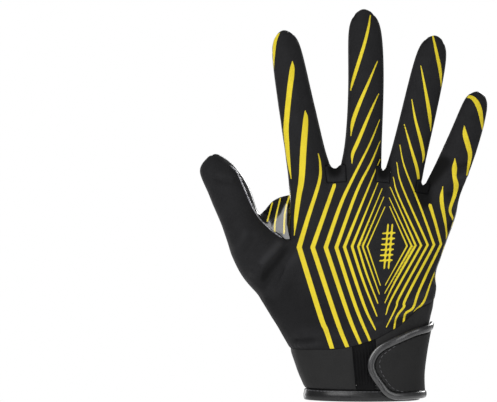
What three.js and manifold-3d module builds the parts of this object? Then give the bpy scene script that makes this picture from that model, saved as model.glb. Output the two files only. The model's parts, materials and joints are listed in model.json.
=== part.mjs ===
// A football receiver glove for the right hand, shown filled as on a hand.
// Millimetres. +Z runs from the wrist to the fingertips, +X to the little finger,
// the back of the hand faces -Y and the palm faces +Y.
// The origin is the centre of the wrist opening.
import * as THREE from 'three';
import { mergeVertices } from 'three/addons/utils/BufferGeometryUtils.js';
import Module from 'manifold-3d';

const wasm = await Module();
wasm.setup();

// Cloth
const WALL = 1.4;
const SEAM_GAP = 0.3;

// Hand
const PALM_WIDTH = 98;
const PALM_HEIGHT = 104;
const PALM_DEPTH = 30;
const FINGER_CURL = 7;
const INDEX_LENGTH = 80.8;
const MIDDLE_LENGTH = 90.7;
const RING_LENGTH = 80.2;
const LITTLE_LENGTH = 56;
const THUMB_OUT = 52.4;
const THUMB_UP = 49;
const THUMB_DEPTH = 24;
const THUMB_FORWARD = 14;

// Cuff
const WRIST_WIDTH = 66.6;
const WRIST_DEPTH = 39;
const CUFF_HEIGHT = 28.8;
const CUFF_RISE = 28;
const HEM_HEIGHT = 6.6;
const HEM_THICKNESS = 2.8;
const RIB_COUNT = 7;
const RIB_RELIEF = 0.7;

// Closing tab
const STRAP_LENGTH = 42;
const STRAP_HEIGHT = 45;
const STRAP_THICKNESS = 1.8;
const STRAP_EDGE = 4;
const STRAP_EDGE_THICKNESS = 2.6;
const STRAP_CLEARANCE = 0.35;

// Body sections from the cuff seam (row 0) to the finger roots (row 7). Sideways sizes are shares
// of PALM_WIDTH, heights over the low side of the cuff seam shares of PALM_HEIGHT, and
// back, palm and thenar (the swell at the thumb) shares of PALM_DEPTH. wrap is how far the cloth
// of the back comes round the thumb side.
const BODY = [
  {
    left: -0.413, leftUp: 0, right: 0.376, rightUp: 0.271,
    back: 0.58, palm: 0.6, thenar: 0.02, wrap: 0.117,
  },
  {
    left: -0.484, leftUp: 0.122, right: 0.398, rightUp: 0.354,
    back: 0.55, palm: 0.6, thenar: 0.1, wrap: 0.153,
  },
  {
    left: -0.569, leftUp: 0.247, right: 0.43, rightUp: 0.437,
    back: 0.52, palm: 0.58, thenar: 0.17, wrap: 0.14,
  },
  {
    left: -0.53, leftUp: 0.367, right: 0.462, rightUp: 0.519,
    back: 0.5, palm: 0.56, thenar: 0.17, wrap: 0.1,
  },
  {
    left: -0.48, leftUp: 0.488, right: 0.492, rightUp: 0.602,
    back: 0.48, palm: 0.53, thenar: 0.12, wrap: 0.06,
  },
  {
    left: -0.435, leftUp: 0.608, right: 0.525, rightUp: 0.685,
    back: 0.46, palm: 0.5, thenar: 0.05, wrap: 0.045,
  },
  {
    left: -0.421, leftUp: 0.781, right: 0.549, rightUp: 0.767,
    back: 0.43, palm: 0.45, thenar: 0, wrap: 0.045,
  },
];

// The cuff seam's height over its low side, as shares of CUFF_RISE, by place across the wrist.
const SEAM = [
  { across: -0.45, back: 0.0, palm: 0.0 },
  { across: -0.17, back: 0.02, palm: 0.02 },
  { across: -0.07, back: 0.07, palm: 0.04 },
  { across: 0.06, back: 0.2, palm: 0.06 },
  { across: 0.22, back: 0.49, palm: 0.16 },
  { across: 0.29, back: 0.72, palm: 0.3 },
  { across: 0.335, back: 0.88, palm: 0.5 },
  { across: 0.37, back: 1.0, palm: 1.0 },
];

// The twelve columns of the back at the cuff seam, as shares of PALM_WIDTH.
const WRIST_COLUMNS = [
  -0.378, -0.301, -0.219, -0.138, -0.062, 0.005, 0.072, 0.133, 0.194, 0.25, 0.3, 0.335,
];

// Finger roots: sideways shares of PALM_WIDTH, heights shares of PALM_HEIGHT over the cuff seam.
// lean and bow bend a finger's centre line, as shares of its length.
const FINGERS = [
  {
    name: 'index', length: INDEX_LENGTH, lean: -0.21, bow: 0.024,
    left: -0.441, leftUp: 0.963, right: -0.184, rightUp: 1.014,
  },
  {
    name: 'middle', length: MIDDLE_LENGTH, lean: 0.11, bow: -0.095,
    left: -0.131, leftUp: 1.014, right: 0.115, rightUp: 1.004,
  },
  {
    name: 'ring', length: RING_LENGTH, lean: 0.248, bow: -0.015,
    left: 0.134, leftUp: 1.004, right: 0.35, rightUp: 0.922,
  },
  {
    name: 'little', length: LITTLE_LENGTH, lean: 0.475, bow: -0.1,
    left: 0.369, leftUp: 0.922, right: 0.575, rightUp: 0.848,
  },
];

// Finger sections: half widths as shares of the root's, for each finger, and depth as for all.
const STATIONS = [
  { along: 0.26, index: 0.88, middle: 0.88, ring: 0.91, little: 0.93, deep: 0.93 },
  { along: 0.58, index: 0.79, middle: 0.87, ring: 0.88, little: 0.83, deep: 0.87 },
  { along: 0.85, index: 0.68, middle: 0.81, ring: 0.78, little: 0.69, deep: 0.75 },
  { along: 0.962, index: 0.43, middle: 0.5, ring: 0.48, little: 0.44, deep: 0.44 },
];
const ROOT_DEEP = 0.88;

// Thumb sections: places of the inner and outer edge as shares of THUMB_OUT and THUMB_UP from
// the crotch, depth as a share of THUMB_DEPTH and its place towards the palm as one of THUMB_FORWARD.
const THUMB = [
  { inOut: 0.084, inUp: 0.061, outOut: 0.37, outUp: -0.622, deep: 0.64, forward: 0.3 },
  { inOut: 0.189, inUp: 0.108, outOut: 0.504, outUp: -0.449, deep: 0.585, forward: 0.45 },
  { inOut: 0.303, inUp: 0.235, outOut: 0.624, outUp: -0.214, deep: 0.53, forward: 0.62 },
  { inOut: 0.376, inUp: 0.429, outOut: 0.725, outUp: 0.112, deep: 0.49, forward: 0.75 },
  { inOut: 0.433, inUp: 0.602, outOut: 0.819, outUp: 0.347, deep: 0.465, forward: 0.86 },
  { inOut: 0.513, inUp: 0.751, outOut: 0.912, outUp: 0.582, deep: 0.43, forward: 0.93 },
  { inOut: 0.599, inUp: 0.867, outOut: 0.988, outUp: 0.796, deep: 0.36, forward: 0.98 },
  { inOut: 0.69, inUp: 0.945, outOut: 0.93, outUp: 0.932, deep: 0.21, forward: 1.0 },
];
const THUMB_TIP = { out: 0.815, up: 0.995, forward: 1.0 };

// The web panel's V on the palm side, from the crotch: shares of THUMB_OUT and THUMB_UP.
const GUSSET = [
  { out: -0.34, up: -0.08 },
  { out: 0.19, up: 0.19 },
  { out: 0.14, up: 0.41 },
  { out: -0.02, up: 0.51 },
];

// The web between the thumb and the index finger stands up behind the back panel's edge: places from
// the index finger's side as shares of THUMB_OUT, the ridge's height over the crotch and its rise as
// shares of THUMB_UP, and the depth of the back panel's edge as a share of PALM_DEPTH.
const WEB_RISE = [
  { out: -0.34, ridge: 0.0, rise: 0.0, edge: -0.1 },
  { out: -0.2, ridge: 0.0, rise: 0.2, edge: -0.1 },
  { out: -0.1, ridge: 0.0, rise: 0.43, edge: -0.1 },
  { out: -0.03, ridge: 0.0, rise: 0.52, edge: -0.08 },
  { out: 0.04, ridge: 0.0, rise: 0.51, edge: -0.04 },
  { out: 0.09, ridge: 0.05, rise: 0.45, edge: 0.01 },
  { out: 0.19, ridge: 0.1, rise: 0.35, edge: 0.09 },
  { out: 0.26, ridge: 0.16, rise: 0.2, edge: 0.14 },
  { out: 0.31, ridge: 0.24, rise: 0.07, edge: 0.18 },
  { out: 0.37, ridge: 0.35, rise: 0.0, edge: 0.22 },
];
const WEB_SLOPE = 0.27;
const WEB_FOOT = 0.5;
const WEB_FRONT = 0.34;

// Folds pressed into the cloth, as lines across the glove. Places are shares of PALM_WIDTH and
// PALM_HEIGHT, width and height of the fold are millimetres, and side is -1 back, 1 palm.
const FOLDS = [
  { side: -1, x1: -0.43, z1: 0.62, x2: -0.56, z2: 0.47, width: 3.4, height: -1.5 },
  { side: -1, x1: -0.44, z1: 0.54, x2: -0.62, z2: 0.38, width: 4, height: 1.3 },
  { side: -1, x1: -0.46, z1: 0.45, x2: -0.6, z2: 0.29, width: 3.6, height: -1.1 },
  { side: -1, x1: -0.36, z1: 0.06, x2: -0.2, z2: 0.05, width: 4.2, height: 1.5 },
  { side: -1, x1: 0.13, z1: 0.2, x2: 0.38, z2: 0.36, width: 3.4, height: 1.5 },
  { side: -1, x1: 0.2, z1: 0.3, x2: 0.4, z2: 0.44, width: 3, height: -0.9 },
  { side: 0, x1: 0.375, z1: 0.26, x2: 0.41, z2: 0.33, width: 6, height: 4 },
  { side: 1, x1: -0.3, z1: 0.62, x2: -0.05, z2: 0.36, width: 4.5, height: -1.2 },
  { side: 1, x1: 0.1, z1: 0.8, x2: 0.5, z2: 0.66, width: 4, height: -1.1 },
  { side: 1, x1: -0.38, z1: 0.86, x2: 0.1, z2: 0.84, width: 4, height: -1 },
];

// The closing tab's outline: along is a share of STRAP_LENGTH from the little-finger side,
// up is a share of STRAP_HEIGHT.
const STRAP_OUTLINE = [
  { along: 0.0, up: 1.0 },
  { along: 0.2, up: 0.965 },
  { along: 0.41, up: 0.905 },
  { along: 0.67, up: 0.8 },
  { along: 0.87, up: 0.69 },
  { along: 0.965, up: 0.575 },
  { along: 1.0, up: 0.455 },
  { along: 0.965, up: 0.325 },
  { along: 0.87, up: 0.195 },
  { along: 0.77, up: 0.085 },
  { along: 0.64, up: 0.03 },
  { along: 0.32, up: 0.028 },
  { along: 0.0, up: 0.028 },
];

const COLUMNS = 12;
const SIDE_ROWS = 3;
const RING = 2 * (COLUMNS - 1 + SIDE_ROWS);
const BODY_ROWS = BODY.length;
const THUMB_FIRST_ROW = 2;
const THUMB_LAST_ROW = THUMB_FIRST_ROW + SIDE_ROWS;
const CORNER = 0.045;
const SETTLE_PASSES = 6;

const CROTCH = {
  x: BODY[THUMB_LAST_ROW].left * PALM_WIDTH,
  z: CUFF_HEIGHT + BODY[THUMB_LAST_ROW].leftUp * PALM_HEIGHT,
};

function mix(a, b, t) {
  return a + (b - a) * t;
}

function clamp01(t) {
  return Math.min(1, Math.max(0, t));
}

function smooth(t) {
  const c = clamp01(t);
  return c * c * (3 - 2 * c);
}

// Straight-line reading of a table by one of its columns.
function lookUp(table, key, value, column) {
  const last = table.length - 1;
  if (value <= table[0][key]) return table[0][column];
  for (let i = 0; i < last; i += 1) {
    if (value <= table[i + 1][key]) {
      const t = (value - table[i][key]) / (table[i + 1][key] - table[i][key]);
      return mix(table[i][column], table[i + 1][column], t);
    }
  }
  return table[last][column];
}

// The control cage: points, and four-sided faces that each name the panel of their four corners.
const cage = { points: [], faces: [] };

function addPoint(x, y, z) {
  cage.points.push(new THREE.Vector3(x, y, z));
  return cage.points.length - 1;
}

function addFace(corners, panel, upperPanel = panel) {
  cage.faces.push({ corners, panels: [panel, panel, upperPanel, upperPanel] });
}

// One finger root's frame: its middle, half width and the direction across it.
function rootFrame(finger) {
  const left = new THREE.Vector3(finger.left * PALM_WIDTH, 0, CUFF_HEIGHT + finger.leftUp * PALM_HEIGHT);
  const right = new THREE.Vector3(finger.right * PALM_WIDTH, 0, CUFF_HEIGHT + finger.rightUp * PALM_HEIGHT);
  const across = right.clone().sub(left);
  const half = across.length() / 2;
  return { middle: left.clone().add(right).multiplyScalar(0.5), across: across.normalize(), half };
}

// The ten places round a finger, in degrees from its little-finger side towards the back.
const FINGER_ANGLES = [138, 90, 42, 14, -28, -58, -90, -122, -152, 166];

function fingerRing(middle, across, half, deep) {
  return FINGER_ANGLES.map((degrees) => {
    const angle = THREE.MathUtils.degToRad(degrees);
    const p = middle.clone().addScaledVector(across, half * Math.cos(angle));
    p.y -= deep * Math.sin(angle);
    return p;
  });
}

// Columns of the finger roots and the height that each column of the body runs up to.
const rootRings = FINGERS.map((finger) => {
  const { middle, across, half } = rootFrame(finger);
  return fingerRing(middle, across, half, half * ROOT_DEEP);
});

// The root row as a ring of the body: back columns, little-finger side, palm columns, thumb side.
function rootRowPoints() {
  const back = rootRings.flatMap((ring) => [ring[0], ring[1], ring[2]]);
  const palm = rootRings.flatMap((ring) => [ring[7], ring[6], ring[5]]).reverse();
  const last = rootRings.length - 1;
  return [...back, rootRings[last][3], rootRings[last][4], ...palm, rootRings[0][8], rootRings[0][9]];
}

// Where a ring place sits: its share across the body and which side it is on.
function ringPlace(k) {
  if (k < COLUMNS) return { column: k, side: 'back' };
  if (k < COLUMNS + 2) return { column: COLUMNS - 1, side: k === COLUMNS ? 'right1' : 'right2' };
  if (k < 2 * COLUMNS + 2) return { column: 2 * COLUMNS + 1 - k, side: 'palm' };
  return { column: 0, side: k === 2 * COLUMNS + 2 ? 'left2' : 'left1' };
}

const rootRow = rootRowPoints();

function shareAcross(column, row) {
  const first = WRIST_COLUMNS[0];
  const wrist = (WRIST_COLUMNS[column] - first) / (WRIST_COLUMNS[COLUMNS - 1] - first);
  const low = rootRow[0].x;
  const root = (rootRow[column].x - low) / (rootRow[COLUMNS - 1].x - low);
  return mix(wrist, root, row / BODY_ROWS);
}

// A point of the body's section at one row and ring place.
function bodyPoint(row, k) {
  const section = BODY[row];
  const { column, side } = ringPlace(k);
  const left = section.left * PALM_WIDTH;
  const right = section.right * PALM_WIDTH;
  const middle = (left + right) / 2;
  const half = (right - left) / 2;
  const q = shareAcross(column, row);
  const inset = CORNER * PALM_WIDTH;
  const onPalm = side === 'palm';
  const start = left + (onPalm ? section.wrap * PALM_WIDTH : inset);
  let x = mix(start, right - inset, q);
  if (side.startsWith('right')) x = right;
  if (side.startsWith('left')) x = left;
  const s = Math.abs((x - middle) / half);
  const round = (1 - Math.min(1, s) ** 2.6) ** 0.55;
  const swell = section.thenar * smooth(1.25 - 2.2 * q) * smooth((1 - s) * 6);
  const depth = onPalm ? section.palm * round + swell : -section.back * round;
  let y = depth * PALM_DEPTH;
  if (side.endsWith('1')) y = -0.16 * section.back * PALM_DEPTH;
  if (side.endsWith('2')) y = 0.32 * section.palm * PALM_DEPTH;
  const seamSide = onPalm || side.endsWith('2') ? 'palm' : 'back';
  const wristX = mix(WRIST_COLUMNS[0], WRIST_COLUMNS[COLUMNS - 1], shareAcross(column, 0));
  const seamX = side.startsWith('right') ? BODY[0].right : wristX;
  const low = CUFF_HEIGHT + CUFF_RISE * lookUp(SEAM, 'across', seamX, seamSide);
  const high = rootRow[k].z;
  const leftRun = (section.leftUp - BODY[0].leftUp) / (FINGERS[0].leftUp - BODY[0].leftUp);
  const rightRun = (section.rightUp - BODY[0].rightUp) / (FINGERS[3].rightUp - BODY[0].rightUp);
  const run = mix(leftRun, rightRun, side.startsWith('right') ? 1 : q);
  const lift = smooth((row / BODY_ROWS - 0.6) / 0.4) * 0.5;
  return new THREE.Vector3(x, mix(y, rootRow[k].y, lift), mix(low, high, run));
}

// Panels of the faces round the body, by ring place.
function bodyPanel(row, k) {
  if (k < COLUMNS) return 'back_panel';
  if (k < 2 * COLUMNS + 1) return 'palm_panel';
  if (k === RING - 1) return 'back_panel';
  return row < THUMB_FIRST_ROW ? 'back_panel' : 'palm_panel';
}

const WEBS = [
  { column: 2, panel: 'fourchette_index_middle' },
  { column: 5, panel: 'fourchette_middle_ring' },
  { column: 8, panel: 'fourchette_ring_little' },
];

function buildBody() {
  const rows = [];
  for (let row = 0; row < BODY_ROWS; row += 1) {
    rows.push([]);
    for (let k = 0; k < RING; k += 1) {
      const insideThumb = row > THUMB_FIRST_ROW && row < THUMB_LAST_ROW && k > RING - SIDE_ROWS;
      const p = bodyPoint(row, k);
      rows[row].push(insideThumb ? -1 : addPoint(p.x, p.y, p.z));
    }
  }
  rows.push(rootRow.map((p) => addPoint(p.x, p.y, p.z)));
  for (let row = 0; row < BODY_ROWS; row += 1) {
    for (let k = 0; k < RING; k += 1) {
      const next = (k + 1) % RING;
      const underThumb = row >= THUMB_FIRST_ROW && row < THUMB_LAST_ROW && k >= RING - SIDE_ROWS;
      if (!underThumb) {
        const corners = [rows[row][k], rows[row][next], rows[row + 1][next], rows[row + 1][k]];
        const panel = bodyPanel(row, k);
        const web = WEBS.find((item) => item.column === k);
        const topRow = row === BODY_ROWS - 1;
        addFace(corners, panel, web && topRow ? web.panel : panel);
      }
    }
  }
  return rows;
}

const bodyRows = buildBody();
const topRing = bodyRows[BODY_ROWS];

// Root loops of the fingers as cage points, with the two inner places of each web side.
function rootLoop(index) {
  const a = index * 3;
  const onBack = [topRing[a], topRing[a + 1], topRing[a + 2]];
  const palmOf = (column) => topRing[2 * COLUMNS + 1 - column];
  const onPalm = [palmOf(a + 2), palmOf(a + 1), palmOf(a)];
  const inner = (place) => {
    const p = rootRings[index][place];
    return addPoint(p.x, p.y, p.z);
  };
  const lastFinger = index === FINGERS.length - 1;
  const right = lastFinger ? [topRing[COLUMNS], topRing[COLUMNS + 1]] : [inner(3), inner(4)];
  const left = index === 0 ? [topRing[RING - 2], topRing[RING - 1]] : [inner(8), inner(9)];
  return [...onBack, ...right, ...onPalm, ...left];
}

const loops = FINGERS.map((finger, index) => rootLoop(index));

function buildWebs() {
  WEBS.forEach((web, i) => {
    const a = loops[i];
    const b = loops[i + 1];
    const nearSide = [a[2], a[3], a[4], a[5]];
    const farSide = [b[0], b[9], b[8], b[7]];
    for (let v = 0; v < SIDE_ROWS; v += 1) {
      addFace([nearSide[v], farSide[v], farSide[v + 1], nearSide[v + 1]], web.panel);
    }
  });
}

// Panels of the ten faces round a finger.
function fingerPanel(index, place) {
  if (place === 3 && index < FINGERS.length - 1) return WEBS[index].panel;
  if (place === 8 && index > 0) return WEBS[index - 1].panel;
  return place < 3 || place === 9 ? 'back_panel' : 'palm_panel';
}

function fingerSpine(finger, middle, along) {
  const h = along * finger.length;
  const x = middle.x + finger.lean * h + finger.bow * along * h;
  return new THREE.Vector3(x, FINGER_CURL * along * along, middle.z + h);
}

function buildFinger(index) {
  const finger = FINGERS[index];
  const { middle, half } = rootFrame(finger);
  const wrapsTip = finger.name === 'middle' || finger.name === 'ring';
  let loop = loops[index];
  STATIONS.forEach((station, m) => {
    const centre = fingerSpine(finger, middle, station.along);
    const slope = finger.lean + 2 * finger.bow * station.along;
    const across = new THREE.Vector3(1, 0, -slope).normalize();
    const ring = fingerRing(centre, across, half * station[finger.name], half * ROOT_DEEP * station.deep);
    const next = ring.map((p) => addPoint(p.x, p.y, p.z));
    const last = m === STATIONS.length - 1;
    for (let i = 0; i < next.length; i += 1) {
      const j = (i + 1) % next.length;
      const panel = fingerPanel(index, i);
      const upper = last && wrapsTip && panel === 'palm_panel' ? 'back_panel' : panel;
      addFace([loop[i], loop[j], next[j], next[i]], panel, upper);
    }
    loop = next;
  });
  const tip = fingerSpine(finger, middle, 1);
  const spread = half * 0.22;
  const capBack = addPoint(tip.x, tip.y - spread, tip.z);
  const capPalm = addPoint(tip.x, tip.y + spread, tip.z);
  const grid = [
    [loop[0], loop[9], loop[8], loop[7]],
    [loop[1], capBack, capPalm, loop[6]],
    [loop[2], loop[3], loop[4], loop[5]],
  ];
  const front = wrapsTip ? 'back_panel' : 'palm_panel';
  const capPanels = ['back_panel', front, front];
  for (let c = 0; c < 2; c += 1) {
    for (let v = 0; v < SIDE_ROWS; v += 1) {
      addFace([grid[c][v], grid[c + 1][v], grid[c + 1][v + 1], grid[c][v + 1]], capPanels[v]);
    }
  }
}

// The twelve places round the thumb, in degrees from its crotch side towards the back.
const THUMB_ANGLES = [238, 202, 166, 135, 105, 75, 45, 14, -18, -45, -72, -98];

function thumbPoint(out, up, y) {
  return new THREE.Vector3(CROTCH.x - out * THUMB_OUT, y, CROTCH.z + up * THUMB_UP);
}

function buildThumb() {
  const lowRow = bodyRows[THUMB_FIRST_ROW];
  const highRow = bodyRows[THUMB_LAST_ROW];
  const between = [bodyRows[THUMB_FIRST_ROW + 1], bodyRows[THUMB_FIRST_ROW + 2]];
  const palmCorner = RING - SIDE_ROWS;
  let loop = [
    lowRow[palmCorner],
    lowRow[palmCorner + 1],
    lowRow[palmCorner + 2],
    lowRow[0],
    between[0][0],
    between[1][0],
    highRow[0],
    highRow[palmCorner + 2],
    highRow[palmCorner + 1],
    highRow[palmCorner],
    between[1][palmCorner],
    between[0][palmCorner],
  ];
  THUMB.forEach((section) => {
    const y = section.forward * THUMB_FORWARD;
    const inner = thumbPoint(section.inOut, section.inUp, y);
    const outer = thumbPoint(section.outOut, section.outUp, y);
    const centre = inner.clone().add(outer).multiplyScalar(0.5);
    const across = inner.clone().sub(centre);
    const next = THUMB_ANGLES.map((degrees) => {
      const angle = THREE.MathUtils.degToRad(degrees);
      const p = centre.clone().addScaledVector(across, Math.cos(angle));
      p.y -= section.deep * THUMB_DEPTH * Math.sin(angle);
      return addPoint(p.x, p.y, p.z);
    });
    for (let i = 0; i < next.length; i += 1) {
      const j = (i + 1) % next.length;
      addFace([loop[i], loop[j], next[j], next[i]], i < 7 ? 'back_panel' : 'palm_panel');
    }
    loop = next;
  });
  const tip = thumbPoint(THUMB_TIP.out, THUMB_TIP.up, THUMB_TIP.forward * THUMB_FORWARD);
  const reach = THUMB_DEPTH * 0.08;
  const inner = (a, b) => addPoint(tip.x + a * reach, tip.y - b * reach, tip.z - 0.1 * Math.abs(a) * reach);
  const grid = [
    [loop[0], loop[1], loop[2], loop[3]],
    [loop[11], inner(-1, -1), inner(-1, 1), loop[4]],
    [loop[10], inner(1, -1), inner(1, 1), loop[5]],
    [loop[9], loop[8], loop[7], loop[6]],
  ];
  for (let a = 0; a < SIDE_ROWS; a += 1) {
    for (let b = 0; b < SIDE_ROWS; b += 1) {
      const corners = [grid[a][b], grid[a][b + 1], grid[a + 1][b + 1], grid[a + 1][b]];
      addFace(corners, b === 2 || a === 0 ? 'back_panel' : 'palm_panel');
    }
  }
}

// One Catmull-Clark step. The first points of the result stand for the cage's own.
function subdivide({ points, faces }) {
  const total = points.length;
  const facePoints = faces.map(({ corners }) => {
    const sum = new THREE.Vector3();
    corners.forEach((c) => sum.add(points[c]));
    return sum.multiplyScalar(0.25);
  });
  const edges = new Map();
  faces.forEach(({ corners }, f) => {
    corners.forEach((a, i) => {
      const b = corners[(i + 1) % 4];
      const key = Math.min(a, b) * total + Math.max(a, b);
      if (!edges.has(key)) edges.set(key, { a, b, faces: [] });
      edges.get(key).faces.push(f);
    });
  });
  const around = points.map(() => ({
    faceSum: new THREE.Vector3(), faceCount: 0, middles: new THREE.Vector3(), edges: 0, rim: [],
  }));
  faces.forEach(({ corners }, f) => {
    corners.forEach((c) => {
      around[c].faceSum.add(facePoints[f]);
      around[c].faceCount += 1;
    });
  });
  const edgePoints = [];
  edges.forEach((edge) => {
    const middle = points[edge.a].clone().add(points[edge.b]).multiplyScalar(0.5);
    const rim = edge.faces.length === 1;
    [edge.a, edge.b].forEach((end) => {
      around[end].middles.add(middle);
      around[end].edges += 1;
      if (rim) around[end].rim.push(middle);
    });
    const made = middle.clone();
    if (!rim) {
      made.add(facePoints[edge.faces[0]].clone().add(facePoints[edge.faces[1]]).multiplyScalar(0.5));
      made.multiplyScalar(0.5);
    }
    edge.index = total + facePoints.length + edgePoints.length;
    edgePoints.push(made);
  });
  const moved = points.map((p, i) => {
    const { faceSum, faceCount, middles, edges: count, rim } = around[i];
    if (rim.length === 2) {
      return p.clone().multiplyScalar(0.5).addScaledVector(rim[0], 0.25).addScaledVector(rim[1], 0.25);
    }
    const average = faceSum.clone().multiplyScalar(1 / faceCount);
    average.addScaledVector(middles, 2 / count).addScaledVector(p, count - 3);
    return average.multiplyScalar(1 / count);
  });
  const edgeIndex = (a, b) => edges.get(Math.min(a, b) * total + Math.max(a, b)).index;
  const made = [];
  faces.forEach(({ corners, panels }, f) => {
    corners.forEach((c, i) => {
      const next = corners[(i + 1) % 4];
      const before = corners[(i + 3) % 4];
      made.push({ corners: [c, edgeIndex(c, next), total + f, edgeIndex(before, c)], panel: panels[i] });
    });
  });
  return { points: [...moved, ...facePoints, ...edgePoints], faces: made };
}

// Moves the cage until the smoothed surface passes through the sections of the tables.
function settle() {
  const wanted = cage.points.map((p) => p.clone());
  for (let pass = 0; pass < SETTLE_PASSES; pass += 1) {
    const { points } = subdivide(cage);
    cage.points.forEach((p, i) => p.add(wanted[i]).sub(points[i]));
  }
}

function normalsOf(points, faces) {
  const normals = points.map(() => new THREE.Vector3());
  faces.forEach(({ corners }) => {
    const [a, b, c, d] = corners.map((i) => points[i]);
    const normal = c.clone().sub(a).cross(d.clone().sub(b));
    corners.forEach((i) => normals[i].add(normal));
  });
  return normals.map((n) => n.normalize());
}

function distanceToLine(p, fold) {
  const ax = fold.x1 * PALM_WIDTH;
  const az = CUFF_HEIGHT + fold.z1 * PALM_HEIGHT;
  const dx = fold.x2 * PALM_WIDTH - ax;
  const dz = CUFF_HEIGHT + fold.z2 * PALM_HEIGHT - az;
  const t = clamp01(((p.x - ax) * dx + (p.z - az) * dz) / (dx * dx + dz * dz));
  return Math.hypot(p.x - ax - t * dx, p.z - az - t * dz);
}

function pressFolds(surface) {
  const normals = normalsOf(surface.points, surface.faces);
  surface.points.forEach((p, i) => {
    let move = 0;
    FOLDS.forEach((fold) => {
      const facing = fold.side === 0 ? 1 : smooth(normals[i].y * fold.side * 2.5);
      move += facing * fold.height * Math.exp(-((distanceToLine(p, fold) / fold.width) ** 2));
    });
    p.addScaledVector(normals[i], move);
  });
}

// Lifts the palm's cloth in the thumb's crotch into a web behind the back panel's edge.
function raiseWeb(surface) {
  surface.points.forEach((p) => {
    const out = (CROTCH.x - p.x) / THUMB_OUT;
    const rise = THUMB_UP * lookUp(WEB_RISE, 'out', out, 'rise');
    const ridge = CROTCH.z + THUMB_UP * lookUp(WEB_RISE, 'out', out, 'ridge');
    const edge = PALM_DEPTH * lookUp(WEB_RISE, 'out', out, 'edge');
    if (rise <= 0 || p.y <= edge) return;
    const slope = smooth((p.y - edge) / (WEB_SLOPE * PALM_DEPTH));
    const over = p.z - ridge;
    const share = over < 0 ? smooth(1 + over / (WEB_FOOT * THUMB_UP)) : clamp01(1 - 0.9 * over / rise);
    p.z += rise * slope * share;
  });
}

// Splits a quad along its shorter diagonal.
function splitQuad(points, [a, b, c, d]) {
  const first = points[a].distanceTo(points[c]);
  const second = points[b].distanceTo(points[d]);
  return first <= second ? [[a, b, c], [a, c, d]] : [[a, b, d], [b, c, d]];
}

// A closed wall from one panel's faces: the outer skin, the inner skin a wall's thickness below it,
// and the cut edge, drawn back by half the seam gap.
function wallOf(points, normals, faces, thickness) {
  const used = new Map();
  const rim = new Map();
  const edgeCount = new Map();
  faces.forEach((corners) => {
    corners.forEach((a, i) => {
      if (!used.has(a)) used.set(a, used.size);
      const b = corners[(i + 1) % corners.length];
      const key = `${Math.min(a, b)}_${Math.max(a, b)}`;
      edgeCount.set(key, (edgeCount.get(key) || 0) + 1);
    });
  });
  const cutEdges = [];
  faces.forEach((corners) => {
    corners.forEach((a, i) => {
      const b = corners[(i + 1) % corners.length];
      if (edgeCount.get(`${Math.min(a, b)}_${Math.max(a, b)}`) !== 1) return;
      cutEdges.push([a, b]);
      const along = points[b].clone().sub(points[a]).normalize();
      [a, b].forEach((end) => {
        const inward = normals[end].clone().cross(along);
        if (!rim.has(end)) rim.set(end, new THREE.Vector3());
        rim.get(end).add(inward);
      });
    });
  });
  const outer = [];
  const inner = [];
  used.forEach((at, i) => {
    const p = points[i].clone();
    const back = rim.get(i);
    if (back && back.lengthSq() > 1e-6) {
      const turn = Math.max(0.6, back.length() / 2);
      p.addScaledVector(back.normalize(), SEAM_GAP / 2 / turn);
    }
    outer[at] = p;
    inner[at] = p.clone().addScaledVector(normals[i], -thickness);
  });
  const positions = [...outer, ...inner];
  const count = outer.length;
  const triangles = [];
  faces.forEach((corners) => {
    const local = corners.map((i) => used.get(i));
    const parts = local.length === 4 ? splitQuad(positions, local) : [local];
    parts.forEach(([a, b, c]) => {
      triangles.push([a, b, c]);
      triangles.push([a + count, c + count, b + count]);
    });
  });
  cutEdges.forEach(([from, to]) => {
    const a = used.get(from);
    const b = used.get(to);
    triangles.push([a, a + count, b]);
    triangles.push([b, a + count, b + count]);
  });
  return geometryOf(positions, triangles);
}

function geometryOf(positions, triangles) {
  const geometry = new THREE.BufferGeometry();
  const values = positions.flatMap((p) => [p.x, p.y, p.z]);
  geometry.setAttribute('position', new THREE.Float32BufferAttribute(values, 3));
  geometry.setIndex(triangles.flat());
  return geometry;
}

function toManifold(geometry) {
  const merged = mergeVertices(geometry, 1e-4);
  return new wasm.Manifold(new wasm.Mesh({
    numProp: 3,
    vertProperties: new Float32Array(merged.attributes.position.array),
    triVerts: new Uint32Array(merged.index.array),
  }));
}

function fromManifold(solid) {
  const mesh = solid.getMesh();
  const geometry = new THREE.BufferGeometry();
  geometry.setAttribute('position', new THREE.Float32BufferAttribute(mesh.vertProperties, 3));
  geometry.setIndex(Array.from(mesh.triVerts));
  return geometry;
}

// A prism that stands on the palm side over an outline given in X and Z.
function palmPrism(outline, grow) {
  const middle = new THREE.Vector2();
  outline.forEach((p) => middle.addScaledVector(p, 1 / outline.length));
  const sides = outline.map((p, i) => {
    const along = outline[(i + 1) % outline.length].clone().sub(p).normalize();
    const outward = new THREE.Vector2(along.y, -along.x);
    if (outward.dot(p.clone().sub(middle)) < 0) outward.negate();
    return { point: p.clone().addScaledVector(outward, grow), along };
  });
  const corners = sides.map((side, i) => {
    const before = sides[(i + sides.length - 1) % sides.length];
    const gap = side.point.clone().sub(before.point);
    const t = gap.cross(side.along) / before.along.cross(side.along);
    return before.point.clone().addScaledVector(before.along, t);
  });
  const shape = new THREE.Shape(corners.map((p) => new THREE.Vector2(p.x, -p.y)));
  const geometry = new THREE.ExtrudeGeometry(shape, { depth: PALM_DEPTH * 3, bevelEnabled: false });
  geometry.deleteAttribute('normal');
  geometry.deleteAttribute('uv');
  geometry.rotateX(-Math.PI / 2);
  geometry.translate(0, WEB_FRONT * PALM_DEPTH - grow, 0);
  return geometry;
}

buildWebs();
FINGERS.forEach((finger, index) => buildFinger(index));
buildThumb();
settle();
const glove = subdivide(cage);
pressFolds(glove);
raiseWeb(glove);
const gloveNormals = normalsOf(glove.points, glove.faces);

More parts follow.
